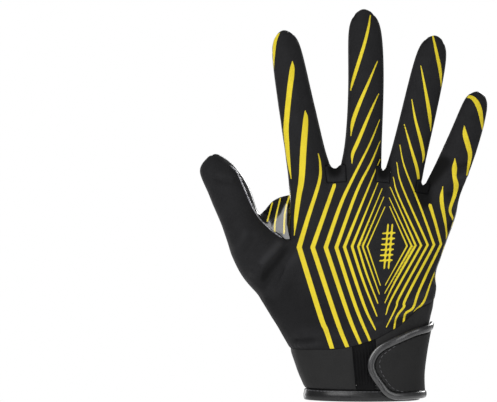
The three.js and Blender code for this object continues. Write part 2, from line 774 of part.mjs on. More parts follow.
function panelFaces(name) {
  return glove.faces.filter((face) => face.panel === name).map((face) => face.corners);
}

const group = new THREE.Group();

function addMesh(name, geometry, color, roughness) {
  const material = new THREE.MeshStandardMaterial({ color, roughness, metalness: 0 });
  const mesh = new THREE.Mesh(geometry, material);
  mesh.name = name;
  group.add(mesh);
}

const FABRIC = 0x2c2c2e;
const MESH_FABRIC = 0x242426;
const SILICONE = 0x111112;
const NEOPRENE = 0x2b2b2b;
const COATED = 0x1c1c1d;
const ELASTIC = 0x1f1f20;

addMesh('back_panel', wallOf(glove.points, gloveNormals, panelFaces('back_panel'), WALL), FABRIC, 0.8);
WEBS.forEach((web) => {
  addMesh(web.panel, wallOf(glove.points, gloveNormals, panelFaces(web.panel), WALL), MESH_FABRIC, 0.85);
});

const palmWall = toManifold(wallOf(glove.points, gloveNormals, panelFaces('palm_panel'), WALL));
const webOutline = GUSSET.map(({ out, up }) => (
  new THREE.Vector2(CROTCH.x - out * THUMB_OUT, CROTCH.z + up * THUMB_UP)
));
const gussetCut = toManifold(palmPrism(webOutline, 0));
const palmCut = toManifold(palmPrism(webOutline, SEAM_GAP));
addMesh('palm_panel', fromManifold(palmWall.subtract(palmCut)), SILICONE, 0.25);
addMesh('thumb_gusset', fromManifold(palmWall.intersect(gussetCut)), MESH_FABRIC, 0.85);

// The rim of the glove's body at the cuff seam, in order round the wrist from the thumb side over the back.
function rimOf(faces, start) {
  const counts = new Map();
  faces.forEach(({ corners }) => {
    corners.forEach((a, i) => {
      const b = corners[(i + 1) % 4];
      const key = `${Math.min(a, b)}_${Math.max(a, b)}`;
      counts.set(key, (counts.get(key) || 0) + 1);
    });
  });
  const onward = new Map();
  faces.forEach(({ corners }) => {
    corners.forEach((a, i) => {
      const b = corners[(i + 1) % 4];
      if (counts.get(`${Math.min(a, b)}_${Math.max(a, b)}`) === 1) onward.set(a, b);
    });
  });
  const rim = [start];
  for (let next = onward.get(start); next !== start; next = onward.get(next)) rim.push(next);
  return rim;
}

const seamRing = rimOf(glove.faces, bodyRows[0][0]).map((i) => glove.points[i]);

// The wrist opening's ring: each seam point taken straight down to the opening's ellipse.
const openingRing = seamRing.map((p) => {
  const middle = ((BODY[0].left + BODY[0].right) / 2) * PALM_WIDTH;
  const half = ((BODY[0].right - BODY[0].left) / 2) * PALM_WIDTH;
  const angle = Math.atan2(p.y / (BODY[0].back * PALM_DEPTH), (p.x - middle) / half);
  const across = (WRIST_WIDTH / 2) * Math.cos(angle);
  const deep = (WRIST_DEPTH / 2) * Math.sin(angle);
  return new THREE.Vector3(across, deep, HEM_HEIGHT);
});

// Reads a closed ring between its points, straight or rounded.
function ringPoint(ring, at, rounded) {
  const count = ring.length;
  const i = Math.floor(at);
  const t = at - i;
  const [a, b, c, d] = [-1, 0, 1, 2].map((step) => ring[(i + step + count) % count]);
  if (!rounded) return b.clone().lerp(c, t);
  const curve = b.clone().multiplyScalar(2);
  curve.addScaledVector(c.clone().sub(a), t);
  const bend = a.clone().multiplyScalar(2).addScaledVector(b, -5).addScaledVector(c, 4).sub(d);
  curve.addScaledVector(bend, t * t);
  curve.addScaledVector(b.clone().multiplyScalar(3).sub(a).addScaledVector(c, -3).add(d), t * t * t);
  return curve.multiplyScalar(0.5);
}

// A point of the cuff's outside, by place round the ring and height.
function cuffPoint(at, z, rounded = true) {
  const low = ringPoint(openingRing, at, rounded);
  const high = ringPoint(seamRing, at, rounded);
  const t = (z - low.z) / (high.z - low.z);
  const rise = clamp01((high.z - CUFF_HEIGHT) / CUFF_RISE);
  const swell = clamp01(t) ** mix(0.85, 1.6, rise);
  return new THREE.Vector3(mix(low.x, high.x, swell), mix(low.y, high.y, swell), z);
}

function cuffNormal(at, z) {
  const along = cuffPoint(at + 0.5, z).sub(cuffPoint(at - 0.5, z));
  const up = cuffPoint(at, z + 0.5).sub(cuffPoint(at, z - 0.5));
  return along.cross(up).normalize();
}

// The elastic patch lies between these places of the ring, counted in seam points.
const ELASTIC_START = 8;
const ELASTIC_END = 12;
const CUFF_ROWS = 3;

// A wall over a grid of places: faces turn outwards when i runs round the wrist and j upwards.
function gridWall(columns, rows, pointAt, normalAt, keeps, thickness) {
  const points = [];
  const normals = [];
  const closed = columns === seamRing.length;
  const across = closed ? columns : columns + 1;
  for (let i = 0; i < across; i += 1) {
    for (let j = 0; j <= rows; j += 1) {
      points.push(pointAt(i, j));
      normals.push(normalAt(i, j));
    }
  }
  const faces = [];
  const place = (i, j) => (i % across) * (rows + 1) + j;
  for (let i = 0; i < columns; i += 1) {
    for (let j = 0; j < rows; j += 1) {
      if (keeps(i)) faces.push([place(i, j), place(i + 1, j), place(i + 1, j + 1), place(i, j + 1)]);
    }
  }
  return wallOf(points, normals, faces, thickness);
}

function cuffBand() {
  const height = (i, j) => mix(HEM_HEIGHT, seamRing[i].z, j / CUFF_ROWS);
  const pointAt = (i, j) => cuffPoint(i, height(i, j), false);
  const normalAt = (i, j) => cuffNormal(i, height(i, j));
  const keeps = (i) => i < ELASTIC_START || i >= ELASTIC_END;
  return gridWall(seamRing.length, CUFF_ROWS, pointAt, normalAt, keeps, WALL);
}

const RIB_ROWS = 6;

function elasticPatch() {
  const columns = RIB_COUNT * 2;
  const place = (i) => mix(ELASTIC_START, ELASTIC_END, i / columns);
  const height = (i, j) => mix(HEM_HEIGHT, ringPoint(seamRing, place(i), false).z, j / RIB_ROWS);
  const normalAt = (i, j) => cuffNormal(place(i), height(i, j));
  const pointAt = (i, j) => {
    const p = cuffPoint(place(i), height(i, j), false);
    const edge = i === 0 || i === columns || j === 0 || j === RIB_ROWS;
    const dip = edge || i % 2 === 0 ? 0 : RIB_RELIEF;
    return p.addScaledVector(normalAt(i, j), -dip);
  };
  return gridWall(columns, RIB_ROWS, pointAt, normalAt, () => true, WALL);
}

// A rectangle with cut corners, turning from the first axis to the second.
function roundedSection(width, height) {
  const cut = 0.3 * Math.min(width, height);
  const w = width / 2;
  const h = height / 2;
  return [
    [w, -h + cut], [w, h - cut], [w - cut, h], [-w + cut, h],
    [-w, h - cut], [-w, -h + cut], [-w + cut, -h], [w - cut, -h],
  ];
}

// Sweeps a section along stations that hold a point and the section's two axes.
function sweep(stations, section, closed) {
  const positions = stations.flatMap(({ point, first, second }) => section.map(([x, y]) => (
    point.clone().addScaledVector(first, x).addScaledVector(second, y)
  )));
  const n = section.length;
  const triangles = [];
  const runs = closed ? stations.length : stations.length - 1;
  for (let i = 0; i < runs; i += 1) {
    const here = i * n;
    const there = ((i + 1) % stations.length) * n;
    for (let s = 0; s < n; s += 1) {
      const t = (s + 1) % n;
      triangles.push([here + s, here + t, there + t], [here + s, there + t, there + s]);
    }
  }
  const last = (stations.length - 1) * n;
  for (let s = 1; s < n - 1 && !closed; s += 1) {
    triangles.push([0, s + 1, s], [last, last + s, last + s + 1]);
  }
  return geometryOf(positions, triangles);
}

function hemBinding() {
  const down = new THREE.Vector3(0, 0, -1);
  const height = HEM_HEIGHT - SEAM_GAP / 2;
  const stations = [];
  for (let i = 0; i < openingRing.length; i += 2) {
    const normal = cuffNormal(i, HEM_HEIGHT);
    const first = new THREE.Vector3(normal.x, normal.y, 0).normalize();
    const point = openingRing[i].clone().addScaledVector(first, -WALL / 2);
    point.z = height / 2;
    stations.push({ point, first, second: down });
  }
  return sweep(stations, roundedSection(HEM_THICKNESS, height), true);
}

// Where the tab starts, in seam points, and a reading of distance round the wrist from there.
const STRAP_START = 25;
const STRAP_STEP = 0.25;

function ringAt(distance) {
  const z = STRAP_HEIGHT / 2;
  let at = STRAP_START;
  let run = 0;
  let from = cuffPoint(at, z);
  while (run < distance) {
    const to = cuffPoint(at - STRAP_STEP, z);
    const length = to.distanceTo(from);
    if (run + length >= distance) return at - STRAP_STEP * ((distance - run) / length);
    run += length;
    at -= STRAP_STEP;
    from = to;
  }
  return at;
}

// Height of the tab's underside over the cuff: it steps out over the hem.
function strapLift(z) {
  const proud = (HEM_THICKNESS - WALL) / 2;
  return STRAP_CLEARANCE + proud * (1 - smooth((z - HEM_HEIGHT) / 5));
}

function strapPlace(flat, over) {
  const at = ringAt(flat.x);
  const normal = cuffNormal(at, Math.max(flat.y, HEM_HEIGHT + 1));
  const point = cuffPoint(at, flat.y).addScaledVector(normal, strapLift(flat.y) + over);
  return { point, normal };
}

// The tab's edge, drawn in by a distance, as flat points: x round the wrist, y up.
const strapCurve = new THREE.CatmullRomCurve3(
  STRAP_OUTLINE.map(({ along, up }) => new THREE.Vector3(along * STRAP_LENGTH, up * STRAP_HEIGHT, 0)),
  false,
  'centripetal',
);

function strapEdge(inset, steps) {
  const points = [];
  for (let i = 0; i <= steps; i += 1) {
    const along = strapCurve.getTangentAt(i / steps);
    const p = strapCurve.getPointAt(i / steps);
    points.push(new THREE.Vector2(p.x + along.y * inset, p.y - along.x * inset));
  }
  points[0].x = 0;
  points[steps].x = 0;
  return points;
}

const STRAP_STEPS = 30;
const STRAP_ROWS = 4;

function strapBody() {
  const half = STRAP_STEPS / 2;
  const edge = strapEdge(STRAP_EDGE + SEAM_GAP / 2, STRAP_STEPS);
  const points = [];
  const normals = [];
  const faces = [];
  const addPlace = (flat) => {
    const { point, normal } = strapPlace(flat, STRAP_THICKNESS);
    points.push(point);
    normals.push(normal);
  };
  for (let i = 0; i < half; i += 1) {
    for (let j = 0; j <= STRAP_ROWS; j += 1) {
      addPlace(edge[i].clone().lerp(edge[STRAP_STEPS - i], j / STRAP_ROWS));
    }
  }
  addPlace(edge[half]);
  const place = (i, j) => i * (STRAP_ROWS + 1) + j;
  for (let j = 0; j < STRAP_ROWS; j += 1) {
    for (let i = 0; i < half - 1; i += 1) {
      faces.push([place(i, j), place(i + 1, j), place(i + 1, j + 1), place(i, j + 1)]);
    }
    faces.push([place(half - 1, j), points.length - 1, place(half - 1, j + 1)]);
  }
  return wallOf(points, normals, faces, STRAP_THICKNESS);
}

function strapBinding() {
  const edge = strapEdge(STRAP_EDGE / 2, STRAP_STEPS);
  const places = edge.map((flat) => strapPlace(flat, STRAP_EDGE_THICKNESS / 2));
  const stations = places.map(({ point, normal }, i) => {
    const before = places[Math.max(0, i - 1)].point;
    const after = places[Math.min(places.length - 1, i + 1)].point;
    const along = after.clone().sub(before).normalize();
    const first = normal.clone().addScaledVector(along, -normal.dot(along)).normalize();
    return { point, first, second: along.clone().cross(first) };
  });
  return sweep(stations, roundedSection(STRAP_EDGE_THICKNESS, STRAP_EDGE), false);
}

addMesh('cuff_band', cuffBand(), NEOPRENE, 0.8);
addMesh('elastic_panel', elasticPatch(), ELASTIC, 0.85);
addMesh('cuff_binding', hemBinding(), COATED, 0.35);
addMesh('closure_strap', strapBody(), NEOPRENE, 0.75);
addMesh('strap_binding', strapBinding(), COATED, 0.35);

export default group;
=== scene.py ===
import json
import math

import bmesh
import bpy
import numpy as np
from mathutils import Matrix, Vector
from mathutils.kdtree import KDTree

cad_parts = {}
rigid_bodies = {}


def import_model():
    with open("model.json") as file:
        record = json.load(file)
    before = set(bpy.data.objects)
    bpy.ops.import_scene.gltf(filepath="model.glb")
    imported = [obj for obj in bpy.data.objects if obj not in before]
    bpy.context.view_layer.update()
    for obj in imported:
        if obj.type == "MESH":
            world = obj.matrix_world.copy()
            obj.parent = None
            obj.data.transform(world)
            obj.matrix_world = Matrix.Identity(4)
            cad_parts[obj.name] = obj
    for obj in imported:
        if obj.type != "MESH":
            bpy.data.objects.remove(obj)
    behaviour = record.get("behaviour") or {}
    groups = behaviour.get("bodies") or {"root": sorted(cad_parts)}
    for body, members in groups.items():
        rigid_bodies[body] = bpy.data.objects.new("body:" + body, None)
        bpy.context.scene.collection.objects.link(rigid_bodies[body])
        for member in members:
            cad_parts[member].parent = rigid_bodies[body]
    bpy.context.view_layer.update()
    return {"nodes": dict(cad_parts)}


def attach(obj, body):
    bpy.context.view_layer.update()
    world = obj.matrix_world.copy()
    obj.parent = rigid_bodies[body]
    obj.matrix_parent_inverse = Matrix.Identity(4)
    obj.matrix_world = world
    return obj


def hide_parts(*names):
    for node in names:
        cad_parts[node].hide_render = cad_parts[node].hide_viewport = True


bl_info = {
    "name": "Receiver glove",
    "version": (1, 0, 0),
    "blender": (4, 5, 0),
    "location": "3D View > Sidebar > Glove",
    "description": "Finishes a football receiver glove in printed knit, glossy silicone and coated trim",
    "category": "Object",
}

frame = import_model()

MM = 0.001

# The prints lie on a flat pattern in the photograph's pixels, 0.5754 mm each, seen from back and palm.
UNIT = 0.5754
PATTERN_TOP = 399.0
BACK_MIDDLE = 362.4
PALM_MIDDLE = 134.6

# Where a wall turns into its cut edge, the faces meet at more than this angle.
RIM_ANGLE = math.radians(52)
MERGE_DISTANCE = 0.00002
QUAD_ANGLE = math.radians(50)
# A wall with more area than this, in square metres, is one of a strip's two faces.
BROAD_WALL = 0.00013
# The smooth surface may leave the node's vertices by this much, and this share of it is put back.
LARGEST_DRIFT = 0.004
PUT_BACK = 0.9
# The seams of the back that lie this near, in metres, to a strip between the fingers get a painted shade.
STRIP_NEAR = 0.0022
# How deep that painted shade is, and how many mm it reaches.
STRIP_SHADE = 0.55
STRIP_SHADE_REACH = 1.8
# Painted shade for each mm of fold, and where it ends: painted light on ridges and painted shade in hollows.
FOLD_SHADE = 0.55
LIGHTEST_RIDGE = -0.8
DARKEST_HOLLOW = 0.75
# In mm: a distance that is far from any printed line, the largest one that is kept, and a line's margin.
FAR_FROM_PRINT = 50.0
KEPT_REACH = 4
LINE_MARGIN = 2.5
# A printed line has at least this half width in mm.
THINNEST_HALF = 0.24
# In metres from a panel's edge: where folds come in, where puckers end, and what a lifted edge takes along.
CALM_EDGE = 0.003
PUCKER_REACH = 0.0055
LIFT_REACH = 0.0025
# How fast the spacing of the puckers changes along a seam.
PUCKER_DRIFT = 190

# Chevrons of the back: upper branch from its free end, apex, lower branch, and the widths at the three.
THUMB_CHEVRONS = [
    ([(318.5, 153.5), (320.5, 165), (319.5, 182), (308.5, 217)], (299.5, 247),
     [(321.5, 317), (326, 327.5), (333, 349)], (0.6, 5.0, 4.1)),
    ([(334.5, 185.5)], (313, 247), [(337, 319), (348, 347)], (3.4, 4.5, 3.6)),
    ([(379.5, 120.5), (369, 146), (353.5, 177), (341, 204)], (326, 247),
     [(348.5, 314), (361, 344)], (0.6, 4.1, 2.8)),
    ([(380, 141.5), (371, 163), (356.5, 192)], (336.5, 247), [(355.5, 305), (370.5, 341)], (0.6, 3.6, 2.3)),
    ([(380, 159.5), (362, 203)], (344.5, 246.5), [(363.5, 303), (375, 328)], (0.6, 3.1, 1.4)),
    ([(380.5, 176)], (352, 246), [(363, 280), (376.5, 314.5)], (0.6, 2.6, 1.2)),
    ([(382, 188.5)], (358, 246), [(366, 272), (377.5, 302)], (0.6, 2.1, 1.1)),
    ([(383.5, 197)], (362.5, 246), [(379, 293)], (0.6, 1.7, 0.9)),
    ([(384.5, 207)], (367, 246), [(380, 284.5)], (0.6, 1.4, 0.8)),
]
LITTLE_CHEVRONS = [
    ([(389.5, 207)], (406.5, 245.5), [(385, 284)], (0.6, 1.5, 0.6)),
    ([(389, 198)], (411, 245.5), [(384.5, 292)], (0.6, 1.8, 0.8)),
    ([(390, 187.5)], (415, 245), [(394.5, 281), (384.5, 301.5)], (0.6, 2.0, 0.8)),
    ([(393, 177.5), (398, 196)], (420.5, 245), [(391.5, 297), (385.5, 313)], (0.6, 2.1, 0.8)),
    ([(396.5, 163), (401.5, 186)], (427, 244.5), [(399, 296), (396, 305), (386, 325.5)], (0.6, 2.2, 0.9)),
    ([(399.5, 145), (404, 167), (419, 205)], (433.5, 244.5),
     [(405.5, 297), (403.5, 305.5), (396, 315.5), (393, 331.5)], (0.6, 2.4, 1.5)),
    ([(429.5, 205.5), (434.5, 222)], (440.5, 244),
     [(419, 288.5), (412.5, 306.5), (404.5, 313), (402.5, 329)], (3.3, 2.4, 1.9)),
]
# Single stripes of the back, with a width at each point.
BACK_STRIPES = [
    [(279.7, 31.6, 1), (274.6, 41.3, 4.4), (273.0, 55.1, 4.2), (273.4, 73.5, 0.4)],
    [(292.7, 61.5, 0.4), (292.4, 71.2, 5.0), (289.4, 95.3, 5.3), (286.6, 124, 5.3), (286.8, 138, 5.0),
     (288.9, 160.7, 3.4), (291.5, 179, 0.6)],
    [(305.5, 111, 0.4), (306.0, 120.5, 5.0), (303.8, 149.3, 6.2), (302, 179, 5.8), (299, 197, 5.0),
     (296.2, 218, 3.8), (294.6, 235, 0.3)],
    [(370.4, 15.5, 1.1), (368.1, 29.9, 2.5), (364, 46, 3.0), (357.2, 67.7, 3.4), (352.6, 82.7, 2.6),
     (350.6, 91, 0.5)],
    [(377.8, 60.8, 0.9), (368.7, 82.7, 2.4), (358.3, 106.8, 3.7), (352.8, 122.8, 3.6), (350.9, 136, 0.5)],
    [(378.4, 94.7, 0.9), (369.8, 113.7, 2.4), (358.3, 141.2, 3.5), (352.8, 153.8, 3.1), (352, 163.4, 0.5)],
    [(432.6, 34.5, 1.4), (436.6, 54.4, 3.0), (440, 71.6, 3.1), (441, 87, 0.5)],
    [(420.5, 66, 0.8), (424.6, 88.8, 2.4), (429.2, 115.2, 3.6), (430.4, 131, 0.5)],
    [(411.4, 99.4, 0.8), (414.8, 119.8, 2.2), (420.5, 141.6, 3.3), (423.2, 155.3, 2.7), (422.4, 162.4, 0.5)],
    [(403.9, 124.6, 0.8), (410.2, 147.3, 2.2), (417.1, 171.4, 3.0), (419.2, 191.4, 0.5)],
    [(465, 96.4, 1.5), (472.7, 98.4, 4.2), (479, 109.4, 5.0), (482.4, 129.5, 2.0)],
    [(463.6, 126.2, 0.4), (464.2, 134.7, 4.6), (467.6, 147.3, 5.1), (469.3, 157, 4.0), (466.2, 175.5, 1.4)],
    [(454.1, 159, 0.4), (453.7, 168, 5.0), (453.6, 177, 4.0), (455.4, 185.4, 5.0), (453.8, 195.5, 3.6),
     (449.4, 209.7, 2.8), (453.1, 220, 2.0)],
    [(442, 187, 0.4), (441, 202, 4), (446, 242, 1), (430.5, 281, 1.4), (423, 301, 2.1), (414, 311, 2),
     (413, 323, 1.7)],
    [(387.7, 224.6, 1.6), (383.9, 267.2, 1.6)],
    [(391.9, 224.6, 1.6), (388.1, 267.2, 1.6)],
]
# Rungs of the lacing motif between its two rails.
LACE_RUNGS = [(388.4, 232.8), (388.0, 238.3), (387.4, 243.8), (386.8, 249.2), (386.2, 254.5), (385.6, 259.8)]
RUNG_HALF = 5.6
RUNG_RISE = 0.3
RUNG_WIDTH = 1.5

# Chevrons of the palm as seen from the palm: far end of the thin branch, apex, broad branch.
PALM_CHEVRONS = [
    ([(108.4, 175.8), (85.3, 190.4)], (58.6, 208),
     [(101, 226.5), (150, 249), (175.4, 263.7), (199, 284), (217.5, 297.8)]),
    ([(152.3, 171), (131.6, 183)], (101.2, 202.6), [(140, 221), (179, 243), (207, 262.5), (240, 283.4)]),
    ([(201.8, 160), (172, 180)], (145, 197.3), [(191.5, 222.4)]),
    ([(201.8, 179.4)], (186, 194), [(204, 202.8)]),
]
PALM_THIN = 1.6
PALM_GROWTH = 0.3
PALM_BROAD = 5.0
PALM_STRIPES = [
    [(41, 222, 3.6), (60, 233.5, 4.6), (110, 259, 4.8), (160, 285.5, 4.8), (202.5, 311.4, 4.8)],
    [(50, 245, 3.2), (60, 256, 4.2), (72, 264.6, 4.6), (130, 294, 4.8), (160, 313, 4.8),
     (191.5, 327.6, 4.8)],
    [(58, 271, 3.2), (66, 284, 4.0), (80, 294, 4.4), (125, 312.6, 4.6), (150, 329, 4.6),
     (184.6, 343.4, 4.4)],
    [(62, 289, 2.4), (70, 303.5, 3.4), (80, 311.5, 4.0), (96, 322.5, 4.4), (122, 338.6, 4.6),
     (147, 350, 4.2)],
    [(62.5, 299, 2.0), (68, 313, 3.2), (74, 324, 4.2), (84, 337, 3.6)],
    [(203.5, 233.2, 4.2), (212, 244, 4.8), (222, 254.6, 4.8), (237, 262.6, 4.2)],
    [(15, 114.6, 3.4), (24, 108.5, 3.2), (35.4, 100, 3.0)],
    [(18.2, 138.4, 3.2), (31, 129.6, 3.0), (43.8, 118.6, 2.6)],
    [(23.6, 159, 3.0), (36, 150, 2.8), (48.4, 139.4, 2.4)],
    [(29.7, 179.6, 2.8), (42, 171, 2.4), (56.4, 160, 1.8)],
    [(36, 199.8, 2.2), (49, 192.6, 1.8), (62.4, 180.2, 1.5)],
    [(56.2, 88.4, 3.0), (69, 79, 2.8), (83.6, 66.6, 2.4)],
    [(61, 109.8, 2.8), (74, 101, 2.6), (91, 88, 2.2)],
    [(66, 132, 2.6), (80, 122.6, 2.4), (94.8, 110.4, 2.0)],
    [(71.8, 152.8, 2.4), (84, 145.4, 2.2), (96.4, 135.6, 1.8)],
    [(76.8, 173, 2.0), (90, 166, 1.8), (105, 152.8, 1.5)],
    [(113.2, 53, 2.8), (129, 44, 2.6), (145.2, 35.6, 2.0)],
    [(113.8, 76.4, 2.4), (130, 69.6, 2.2), (147, 57.6, 1.8)],
    [(114.4, 99.2, 2.2), (131, 92.4, 2.0), (148, 80.8, 1.6)],
    [(115.6, 121.8, 2.0), (131, 115.4, 1.8), (148.6, 104, 1.5)],
    [(116.6, 144.2, 1.8), (132, 138, 1.6), (149.4, 125.2, 1.4)],
    [(117, 167.4, 1.6), (134, 159.4, 1.5), (151.4, 146.6, 1.3)],
    [(168, 43.2, 2.6), (181, 37.6, 2.4), (195.4, 30, 2.0)],
    [(167.4, 66.8, 2.2), (182, 61, 2.0), (198, 51, 1.6)],
    [(166.6, 90.2, 2.0), (182, 84.4, 1.8), (199.6, 71, 1.5)],
    [(166.2, 112.6, 1.8), (183, 107.4, 1.6), (200, 91.8, 1.4)],
    [(165.8, 134.6, 1.6), (183, 128.6, 1.5), (201.2, 112.6, 1.3)],
    [(165.2, 156.6, 1.5), (184, 148.6, 1.4), (202, 132, 1.2)],
]
# Middles of the short dashes between the palm's stripes, those that fall and those that rise to the thumb.
FALLING_DASHES = [
    (142, 233), (151.6, 237.6), (162, 243), (173, 249.6), (182.8, 256), (192.5, 263.6), (201.8, 272.2),
    (211.5, 279.6), (221.7, 285.8), (78, 235.6), (99.4, 245.4), (119.4, 255.2), (139.4, 264.4),
    (158.9, 276), (177.9, 288.2), (196.9, 301.4), (73.1, 248.4), (97.5, 261.2), (122.3, 273),
    (146.9, 285.6), (170.6, 300.2), (194.9, 314.8), (88.9, 288), (123.5, 304), (157.2, 322.2),
    (111.6, 313.6), (150.3, 334.4),
]
RISING_DASHES = [
    (78.5, 224.2), (98.7, 210), (110.1, 225), (118.7, 196.6), (96.7, 188.6), (121.1, 173.6), (87.7, 152.8),
    (136.5, 143), (146.9, 157.6), (138.9, 183.8), (154.7, 195.4), (140.1, 205.2), (169.8, 185),
    (179.6, 157.2), (185.2, 175.2), (174.7, 139.4), (170.6, 120.4), (126.2, 128), (44.4, 202.4),
    (50, 175), (71.4, 205.6), (181.6, 200.4), (171.8, 207.6), (162, 214.2), (151.6, 221), (141.3, 227.8),
]
# Stripes on the web behind the thumb's crotch, seen from the back.
WEB_STRIPES = [
    [(271.8, 203, 1.4), (269.8, 211, 1.5), (267.2, 221, 1.6)],
    [(280.0, 198.6, 1.5), (276.6, 213, 1.6), (274.8, 224, 1.7), (274.6, 233, 1.8)],
    [(290.6, 192.8, 1.6), (286.0, 207, 1.7), (284.4, 219, 1.8), (284.2, 233, 2.0)],
]
# The web's place in mm, and how far the normal of its back may lean to the palm.
WEB_LEFT = -64.0
WEB_RIGHT = -36.0
WEB_LOW = 88.0
WEB_HIGH = 122.0
WEB_FACING = 0.12
# Half length and width of a dash, and the two ways in which the dashes lie.
DASH_HALF = 2.7
DASH_WIDTH = 1.7
FALLING_WAY = (0.87, 0.49)
RISING_WAY = (0.85, -0.53)

# Soft folds of the back: points on the pattern, height in mm and half width in mm.
BACK_FOLDS = [
    ([(287, 236), (276, 249), (262, 264), (252, 279)], 1.5, 3.6),
    ([(294, 239), (282, 256), (268, 274), (258, 288)], -1.4, 3.4),
    ([(303, 246), (290, 262), (276, 282), (266, 298)], 1.0, 4.2),
    ([(262, 262), (256, 274)], -0.9, 3.0),
    ([(293, 332), (312, 333), (334, 332), (352, 330)], 0.9, 3.2),
    ([(292, 339), (304, 339.6), (318, 338)], -1.3, 1.6),
    ([(294, 343.4), (308, 343), (324, 341.6)], 1.2, 1.5),
    ([(211, 178), (221, 182.4), (233, 181)], -0.7, 2.0),
    ([(213, 173), (226, 176.4), (236, 178)], 0.5, 2.4),
    ([(234, 252), (242, 240), (249, 226)], 0.6, 3.0),
    ([(240, 256), (249, 244), (256, 232)], -0.6, 2.6),
    ([(226, 214), (232, 226), (236, 238)], -0.4, 3.4),
    ([(384, 322), (396, 315), (410, 310), (424, 303), (436, 293)], 1.4, 2.0),
    ([(386, 329), (398, 321), (412, 316), (426, 308)], -1.1, 1.8),
    ([(400, 302), (412, 300), (428, 290), (438, 281)], 0.9, 2.2),
    ([(446, 232), (452, 222), (460, 216)], -1.1, 1.8),
    ([(444, 208), (452, 206), (462, 197)], 1.1, 2.0),
    ([(444, 196), (455, 192), (466, 184)], -1.0, 2.0),
    ([(450, 176), (460, 177), (470, 170)], 1.0, 2.0),
    ([(453, 166), (462, 166), (473, 160)], -0.8, 1.8),
    ([(462, 140), (470, 146), (478, 142)], 0.3, 2.0),
    ([(288, 172), (296, 186), (300, 204)], -0.35, 3.0),
    ([(326, 196), (336, 204), (346, 198)], -0.4, 3.0),
    ([(352, 328), (370, 326), (384, 318)], 0.7, 2.0),
    ([(382, 172), (385, 186), (386, 200)], -0.45, 2.4),
    ([(424, 196), (432, 206), (436, 220)], -0.4, 2.6),
]
# Softer creases of the palm, seen from the palm.
PALM_FOLDS = [
    ([(62, 262), (74, 284), (92, 300), (104, 322)], 0.7, 3.6),
    ([(58, 276), (70, 296), (88, 312)], -0.6, 3.0),
    ([(74, 330), (96, 336), (120, 334)], 0.6, 3.0),
    ([(206, 250), (214, 268), (216, 288)], 0.7, 3.2),
    ([(196, 238), (205, 258), (206, 280)], -0.5, 3.0),
    ([(70, 214), (110, 222), (160, 216), (190, 206)], -0.35, 4.0),
    ([(30, 150), (40, 146), (50, 150)], -0.4, 2.4),
    ([(72, 136), (84, 132), (94, 138)], -0.4, 2.6),
    ([(114, 118), (130, 114), (148, 118)], -0.4, 2.6),
    ([(166, 122), (184, 118), (200, 122)], -0.4, 2.6),
]
# The inner line of stitching on the tab, on the back pattern.
TAB_STITCHES = [
    (419, 333.2), (404, 338.4), (392.6, 345.6), (382.5, 353.2), (379.3, 360.5), (380.6, 368.5),
    (384.9, 376.5), (390, 383.4), (396, 387.6), (405, 389.8), (418, 390.2),
]
# The silicone's turned edge along the thumb and under the web, on the back pattern; it is drawn pale as a
# painted highlight.
TURNED_EDGE = [
    (229, 165.5), (234.5, 170), (238.6, 177), (243, 187), (248, 198.5), (252.6, 208.5),
    (257.4, 216.4), (262, 222.4), (267.4, 227.6), (272.6, 231.8), (277.6, 235.2), (282, 238),
]
TURNED_EDGE_RADIUS = 0.00045
# Places of the back that get a soft painted shade, in the crotches and at the lower left: a run on the
# pattern, its reach in mm and its depth.
SHADED = [
    ((334.5, 158), (334.5, 170), 6.5, 1.0),
    ((383.5, 163), (383.5, 173), 6.0, 1.0),
    ((423, 188), (423, 201), 7.0, 1.0),
    ((424, 186), (443, 163), 6.0, 1.0),
    ((272, 292), (325, 325), 27.0, 0.42),
]
# The hem's binding in mm: heights of the groove over its roll and of its stitching, and its relief.
HEM_GROOVE_UP = 4.5
HEM_STITCH_UP = 5.6
HEM_STEP = 0.35
HEM_STEP_WIDTH = 0.4
HEM_GROOVE = 0.3
HEM_GROOVE_HALF = 0.45
HEM_RIPPLE = 0.1
HEM_RIPPLES = 40
# A stitch's direction is taken from the line this far on either side of it, in metres.
LOOK_ROUND = 0.0006
# The outer seam of the palm is stitched this far from its edge, where it faces the palm.
PALM_SEAM_INSET = 0.0017
PALM_SEAM_FACING = 0.12
# The studio, in metres: the floor, what the lamps aim at, and where the camera stands and looks.
FLOOR_RADIUS = 2.4
LAMP_TARGET = (-0.010, 0.0, 0.114)
CAMERA_ACROSS = -0.010
CAMERA_UP = 0.1139
LOOK_ACROSS = -0.0655
# The width of the camera's sensor in mm.
SENSOR_WIDTH = 36.0
# The strength of the air's light on the glove.
AIR_LIGHT = 0.13
# Each lamp's name, place, width and height in metres, and its power in watts.
LAMPS = [
    ("key", (-0.9, -1.5, 1.1), 1.3, 1.3, 27.0),
    ("fill", (1.1, -1.4, 0.5), 0.7, 1.0, 5.0),
    ("front", (0.0, -1.9, 0.2), 0.5, 0.5, 1.0),
    ("rim_left", (-1.1, 0.7, 0.4), 0.9, 1.4, 1.3),
    ("rim_right", (1.1, 0.8, 0.4), 0.9, 1.4, 1.2),
    ("palm_key", (0.8, 1.6, 1.0), 0.9, 0.9, 20.0),
    ("palm_fill", (-1.2, 1.5, 0.3), 0.4, 1.3, 10.0),
]


